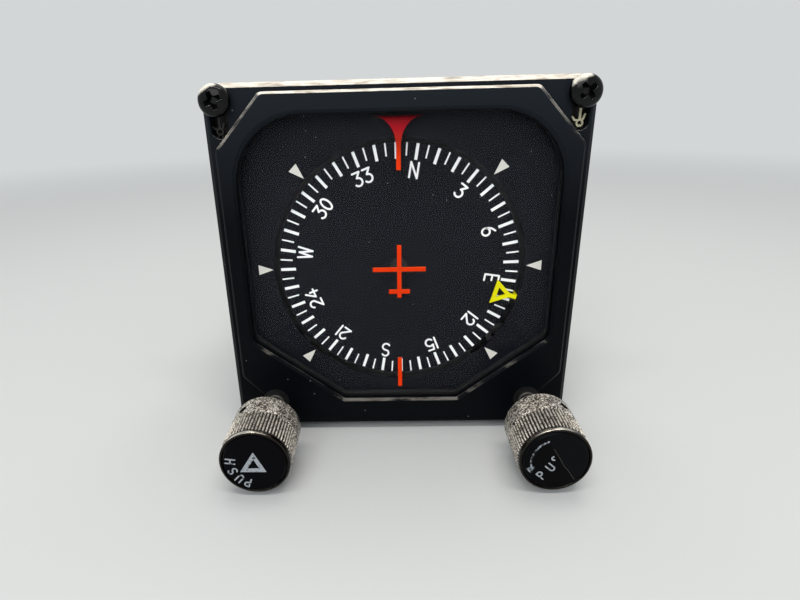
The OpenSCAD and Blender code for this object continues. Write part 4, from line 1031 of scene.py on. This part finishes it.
    def card_cap_marks(self) -> None:
        """Lays the broken lacquer film with the curved arrow and what is left of the word."""
        film, marks, arrow, lip = Shell(), Shell(), Shell(), Shell()
        crack = [(-1.68, 4.4), (-0.78, 3.06), (0.2, 1.5), (1.1, -0.02), (1.7, -1.2), (2.58, -2.18),
                 (4.1, -4.6)]
        start, end = (math.degrees(math.atan2(x, z)) % 360 for x, z in (crack[-1], crack[0]))
        rim = [on_clock(self.cap_r, start + (end - start) * k / 40) for k in range(41)]
        top = self.front - self.ink
        film.prism(self.spots(rim + crack), top, self.front + SINK)
        hand_over(film.object("card_cap_film", CAP_FILM), self.body, "cap_black")
        style, tilt = Lettering(2.25, 0.3, top, self.ink), 48.6
        for c, at in (("P", (-2.78, -3.4)), ("U", (-1.07, -1.42))):
            style.word(marks, c, self.spots([at])[0], -tilt)
        across, up = Vector(on_clock(1, 90 - tilt)), Vector(on_clock(1, -tilt))
        left = arc(0, 0.62, 0.42, 0.42, 60, 235, 10)  # what is left of the S
        broken = [Vector((-0.05, 0.35)) + across * u + up * v for u, v in left]
        marks.ribbon(self.spots(broken), 0.17, top - self.ink, top + SINK)
        hand_over(marks.object("card_cap_marks", CAP_INK), self.body, "index_grey")
        stem = self.spots(on_clock(5.15, 338 - 81 * k / 24) for k in range(25))
        point = self.spots(on_clock(r, clock) for r, clock in ((4.28, 256), (6.33, 255), (5.75, 239)))
        arrow.ribbon(stem, 0.19, top - 0.032, top + SINK)
        arrow.prism(point, top - 0.036, top + SINK)
        hand_over(arrow.object("card_cap_arrow", FLAKED_INK), self.body, "index_grey")
        lip.ribbon(self.spots(crack[1:]), 0.03, top - 0.012, top + 0.02)
        hand_over(lip.object("card_cap_crack", CRACK), self.body, "cap_black")


@dataclass
class PanelScrews:
    """The two pan-head screws in the flange's top slots, with the clips that they screw into."""

    at: Flat = (38.0, 38.0)
    head_r: float = 3.35
    head_y: float = -3.5
    seat_y: float = -1.1
    rim: float = 0.55  # height of the head's edge under its dome
    shank_r: float = 1.75
    ridge: Flat = (0.22, 0.79)  # the thread's depth and pitch
    end_y: float = 10.0
    bore: float = 1.81
    plate: float = 3.1  # half the clip plate's width
    plate_drop: float = 8.0
    fold: Flat = (38.4, 7.35)  # where a clip's fold lies: x, and how far under the screw's axis
    cross: Flat = (22.0, 40.0)  # turn of the left and of the right cross recess, in degrees
    # Depth from the head's top, reach and half width of the cross recess
    recess: tuple[Point, ...] = ((-0.5, 2.15, 0.68), (0.35, 1.85, 0.6), (1.7, 0.7, 0.35))

    def centre(self, side: Side) -> Flat:
        """Returns a screw's axis in x and z."""
        return side.value * self.at[0], self.at[1]

    def head(self, side: Side) -> Object:
        """Makes one screw with a domed head, a cross recess and a threaded shank."""
        (x, z), r, seat = self.centre(side), self.head_r, self.seat_y
        rim_y = seat - self.rim
        dome = [(r * math.sin(a), rim_y - (rim_y - self.head_y) * math.cos(a) ** 0.8)
                for a in (math.radians(9 * k) for k in range(1, 11))]
        rows = [(0, self.head_y)] + dome + [(r, seat - 0.2), (r - 0.2, seat), (0, seat)]
        shell, tool, shank = Shell(), Shell(), Shell()
        shell.lathe(rows, (x, z), 48)
        obj = shell.object(f"panel_screw_{side.label}", BLACK_STEEL)
        rings, first = [], self.cross[side is Side.RIGHT]
        for y, long, wide in self.recess:
            arms = [(Vector((c, s)), Vector((-s, c))) for c, s in arc(0, 0, 1, 1, first, first + 270, 3)]
            spots = [along * u + across * v for along, across in arms
                     for u, v in ((wide, -wide), (long, -wide * 0.8), (long, wide * 0.8))]
            rings.append([(x + p.x, self.head_y + y, z + p.y) for p in spots])
        tool.tube(rings)
        cut_away(obj, tool.object("cross_recess", RECESS))
        round_off(obj.data, 35)
        shank.thread((x, z), self.shank_r, *self.ridge, seat - 0.1, self.end_y)
        thread = shank.object("thread", BLACK_STEEL, 30)
        with bpy.context.temp_override(active_object=obj, selected_editable_objects=[obj, thread]):
            bpy.ops.object.join()
        return obj

    def clip(self, side: Side) -> Object:
        """Makes one clip: a plate behind the flange, a nut barrel, and the fold to its tongue."""
        (x, z), shell, edge = self.centre(side), Shell(), []
        for c, s in circle(1):
            tall = self.plate if s > 0 else self.plate_drop
            reach = min(self.plate / max(abs(c), 1e-6), tall / max(abs(s), 1e-6))
            edge.append((x + reach * c, z + reach * s))
        shell.frame(edge, circle(self.bore, x, z), 3.7, 4.3)
        shell.lathe([(self.bore, 3.75), (2.6, 3.75), (2.6, 5.8), (2.4, 6.0), (self.bore, 6.0)], (x, z), 32)
        fold, foot = side.value * self.fold[0], z - self.fold[1]
        shell.ribbon([(fold - 0.5, foot), (fold + 0.5, foot)], 0.25, 1.5, 4.0)
        return shell.object(f"clip_nut_{side.label}", DARK_CLIP, 30)

    def tongue(self, side: Side) -> Object:
        """Makes a clip's sprung tongue: a stem, a small ringed hole at its foot, and two prongs."""
        x, z = side.value * self.fold[0], self.at[1]
        shell, low = Shell(), z - 6.3
        shell.ribbon([(x, z - 2.2), (x, low + 1.4), (x, low + 0.72)], 0.26, 1.5, 2.0)
        shell.frame(circle(0.82, x, low), circle(0.44, x, low), 1.4, 2.0)
        for wide, tall in ((-1.55, 1.2), (1.0, 1.7)):
            prong = ((wide * 0.4, 0.5), (wide * 0.75, tall * 0.55), (wide, tall))
            shell.ribbon([(x + u, low + v) for u, v in prong], 0.2, 1.45, 1.9)
        shell.ribbon([(x, low - 0.6), (x, z - self.fold[1])], 0.3, 1.5, 1.95)
        return shell.object(f"clip_tongue_{side.label}", DARK_CLIP if side is Side.LEFT else YELLOW_CLIP, 30)

    def build(self) -> None:
        """Makes both screws and both clips."""
        screws = [self.head(side) for side in Side]
        clips = [make(side) for make in (self.clip, self.tongue) for side in Side]
        for piece in screws:
            hand_over(piece, "case", "black_steel", "mounting_screws")
        for piece in clips:
            hand_over(piece, "case", "clip_steel", "clip_nuts")


@dataclass
class CaseScrews:
    """Countersunk screws round the housing and the can, each with a cross recess."""

    r: float = 1.0
    head_r: float = 2.0
    housing_xs: Flat = (-15.0, 15.0)
    housing_z: float = 40.0
    can_z: float = 39.3
    housing_y: float = 6.0
    can_ys: Flat = (27.0, 93.0)
    slot: Flat = (1.1, 0.24)  # half the length and the width of the recess's arms

    def unit(self, spots: Sequence[Point], name: str) -> Object:
        """Makes countersunk screws with their heads up at the given places, as one unit."""
        shell, tool, one = Shell(), Shell(), Shell()
        one.lathe([(0, 0), (self.head_r, 0), (self.r, 1.0), (self.r, 2.4), (0, 2.4)], steps=28)
        for x, y, z in spots:
            shell.add([(x + px, y + pz, z - py) for px, py, pz in one.points], one.faces)
            for w, h in (self.slot, self.slot[::-1]):
                tool.tube([[(x + u * w, y + v * h, level) for u, v in ((-1, -1), (1, -1), (1, 1), (-1, 1))]
                           for level in (z + 0.5, z - 0.7)])
        obj, cross = (s.object(n, PLAIN_OXIDE, local=True) for s, n in ((shell, name), (tool, "recess")))
        outward(obj.data)
        outward(cross.data)
        cut_away(obj, cross, overlaps=True)
        return obj

    def build(self, tree: Tree) -> None:
        """Sets eight screws in the housing and eight in the can."""
        pair = [(x, self.housing_y, self.housing_z) for x in self.housing_xs]
        housing = self.unit(pair, "housing_flat_screws")
        can = self.unit([(0, y, self.can_z) for y in self.can_ys], "can_flat_screws")
        for obj, first, node in ((housing, 0, "housing_screws"), (can, 45, "case_screws")):
            grow(obj, tree, PLAIN_OXIDE, 30, Count=4, Turn=math.radians(first), Centre=at_row((0, 0, 0)))
            hand_over(obj, "case", "black_steel", node)


@dataclass
class RearFittings:
    """The connector's insert with its pins."""

    plug: Flat = (14.006, 17.99)
    face_y: float = 101.0
    insert: tuple[Flat, ...] = (  # radius and distance from that face, along the insert's section
        (0, -2), (5.2, -2), (5.2, 2.7), (4.9, 3), (4.3, 3), (4.1, 2.8), (1.9, 2.8), (1.7, 3), (0, 3))
    pin: tuple[Flat, ...] = ((0, 2.0), (0.5, 2.0), (0.5, 5.5), (0.4, 5.85), (0.2, 6.0), (0, 6.0))
    pin_ring: float = 3.0  # radius of the ring that the pins stand on

    def build(self, tree: Tree) -> None:
        """Makes the dished insert and six round-nosed pins."""
        insert, pin = Shell(), Shell()
        insert.lathe([(r, self.face_y + y) for r, y in self.insert], self.plug, 48)
        obj = insert.object("dished_insert", PHENOLIC, 30)
        hand_over(obj, "case", "connector_plastic", "connector_insert")
        pin.lathe(self.pin, (0, self.pin_ring), 16)
        obj = pin.object("connector_pins", GOLD, local=True)
        outward(obj.data)
        grow(obj, tree, GOLD, 40, Count=6, Turn=math.radians(30),
             Centre=at_row((self.plug[0], self.face_y, self.plug[1])))
        hand_over(obj, "case", "connector_nickel", "connector_insert")


@dataclass
class KnobSpring:
    """The coil spring behind a knob's yoke."""

    name: str
    side: Side
    y0: float
    y1: float
    turns: float
    r: float = 2.2
    wire: float = 0.25

    def build(self, tree: Tree) -> None:
        """Winds the spring."""
        obj = link(f"{self.name}_wire", bpy.data.meshes.new(f"{self.name}_wire"))
        start = self.side.value * KNOB_AT[0], self.y0 + self.wire, KNOB_AT[1]
        grow(obj, tree, SPRING_WIRE, Turns=self.turns, Radius=self.r * MM, Wire=self.wire * MM,
             Length=(self.y1 - self.y0 - 2 * self.wire) * MM, Centre=at_row(start))
        hand_over(obj, "case", "bright_steel", self.name)


@dataclass
class Paintwork:
    """The finish of each CAD node that keeps its own shape."""

    coats: dict[Finish, tuple[str, ...]] = field(default_factory=lambda: {
        ENAMEL: ("bezel_frame",),
        CASE_ENAMEL: ("front_housing", "case_can", "rear_housing", "glass_retainer"),
        GLASS: ("window_glass",),
        RUBBER: ("glass_gasket", "case_seals"),
        DIAL_BLACK: ("dial_mask", "compass_card"),
        INDEX_INK: ("index_marks",),
        ORANGE: ("lubber_marks", "airplane_symbol"),
        YELLOW: ("heading_bug",),
        PLAIN_OXIDE: ("bug_set_screw", "card_set_screw"),
        BRONZE: ("knob_bushes",),
        FELT: ("filter_element",),
        STEEL: ("filter_cover", "rear_screws", "frame_screws", "frame_pins", "card_bearing",
                "gimbal_bearings", "gimbal_shafts", "tilt_bearings", "tilt_pivots", "rotor_bearings",
                "rotor_shaft", "bug_knob_shaft", "card_knob_shaft", "caging_lever"),
        NICKEL: ("connector_shell",),
        CAST: ("main_frame", "card_hub", "outer_gimbal", "rotor_frame", "bug_yoke", "card_yoke"),
        BRASS: ("card_mitre_gear", "gimbal_gear", "air_nozzle", "gyro_rotor"),
        DARK_METAL: ("bug_ring_gear", "card_set_gear", "card_shaft", "bug_friction_ring", "bug_idler",
                     "card_idler"),
        CAP: ("bug_knob_cap",),
        BARE_CAP: ("card_knob_cap",),
    })

    def build(self) -> None:
        """Puts each finish on its nodes, in every slot that their colours left."""
        for finish, nodes in self.coats.items():
            for node in nodes:
                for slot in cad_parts[node].material_slots:
                    slot.material = finish.material()
            LOG.info("%s on %s", finish.name, ", ".join(nodes))


@dataclass
class Studio:
    """The pale floor, the soft lamps and the camera."""

    sweep: tuple[float, ...] = (-2.2, 1.6, 0.6, 2.4, 2.6)  # front, back, bend, height, half width, in metres
    world: tuple[str, float] = ("#e6ebf0", 0.4)  # colour and strength of the light from all round
    focal: float = 24.238
    shift: Flat = (0.03378, 0.00759)  # the photograph is cropped a little off its lens's axis
    eye: Point = (-2.95, -163.14, 79.05)  # in the row frame, in millimetres
    pitch: float = 0.36819
    yaw: float = -0.0285
    roll: float = -0.02627

    def backdrop(self) -> None:
        """Lays the paper sweep, and sets the pale world that eyes, metal and glass see."""
        near, far, bend, top, half = self.sweep
        side = [(near, 0.0)] + arc(far, bend, bend, bend, -90, 0, 16) + [(far + bend, top)]
        mesh = bpy.data.meshes.new("paper_sweep")
        mesh.from_pydata([(x, y, z) for y, z in side for x in (-half, half)], [],
                         [(2 * i, 2 * i + 1, 2 * i + 3, 2 * i + 2) for i in range(len(side) - 1)])
        mesh.shade_smooth()
        mesh.materials.append(PAPER.material())
        link("paper_sweep", mesh)
        world = bpy.data.worlds.new("studio")
        bpy.context.scene.world = world
        world.use_nodes = True
        g, light = Graph(world.node_tree), world.node_tree.nodes["Background"]
        light.inputs["Color"].default_value = linear(self.world[0])
        light.inputs["Strength"].default_value = self.world[1]
        pale = g.out("ShaderNodeBackground", {"Color": linear(PAPER.colour), "Strength": 1.0})
        g.surface(g.seen(), light.outputs[0], pale, "World Output")

    def lamp(self, name: str, at: Point, aim: Point, size: Flat, watts: float,
             colour: str = "#ffffff") -> None:
        """Hangs a soft rectangular lamp, in metres of the row frame, aimed at a point."""
        data = bpy.data.lights.new(name, "AREA")
        data.shape, data.size, data.size_y, data.energy = "RECTANGLE", size[0], size[1], watts
        data.color = linear(colour)[:3]
        obj = link(name, data)
        obj.location = at
        obj.rotation_euler = (Vector(aim) - Vector(at)).to_track_quat("-Z", "Y").to_euler()

    def camera(self) -> None:
        """Sets the camera that fits the photograph's view."""
        data = bpy.data.cameras.new("view")
        data.sensor_width, data.lens = 36.0, self.focal
        data.shift_x, data.shift_y = self.shift
        data.clip_start, data.clip_end = 0.005, 20
        obj = link("view", data)
        cp, sp, cy, sy = math.cos(self.pitch), math.sin(self.pitch), math.cos(self.yaw), math.sin(self.yaw)
        forward, right = Vector((sy * cp, cy * cp, -sp)), Vector((cy, -sy, 0))
        up = right.cross(forward)
        c, s = math.cos(self.roll), math.sin(self.roll)
        turned = Matrix((right * c + up * s, -right * s + up * c, -forward)).transposed().to_4x4()
        obj.matrix_world = Matrix.Translation(Vector(self.eye) * MM) @ turned
        bpy.context.scene.camera = obj

    def build(self) -> None:
        """Sets up the whole studio."""
        self.backdrop()
        self.camera()
        self.lamp("overhead_softbox", (0.05, 0.2, 0.8), (0, -0.02, 0.03), (0.7, 0.5), 3.0, "#fffaf2")
        self.lamp("camera_side_fill", (-0.15, -0.8, 0.55), (0, -0.05, 0.04), (0.7, 0.5), 3.0)
        self.lamp("front_strip", (0.0, -0.28, 0.66), (0, -0.043, 0.08), (0.6, 0.06), 1.8, "#fffaf2")


def main() -> None:
    """Builds every sub-assembly in order and reports each piece."""
    logging.basicConfig(level=logging.INFO, format="%(name)s: %(message)s")
    bpy.context.scene.view_settings.view_transform = "Standard"
    ring, coil, bead = ring_tree(), coil_tree(), bead_tree()
    Studio().build()
    Paintwork().build()
    FrontFrame().build(bead)
    CompassRose().build(ring)
    for side in Side:
        SettingKnob(side).build(ring)
    PanelScrews().build()
    CaseScrews().build(ring)
    RearFittings().build(ring)
    KnobSpring("bug_spring", Side.LEFT, y0=13.3, y1=21.2, turns=6).build(coil)
    KnobSpring("card_spring", Side.RIGHT, y0=18.7, y1=21.2, turns=3).build(coil)


if __name__ == "__main__":
    main()
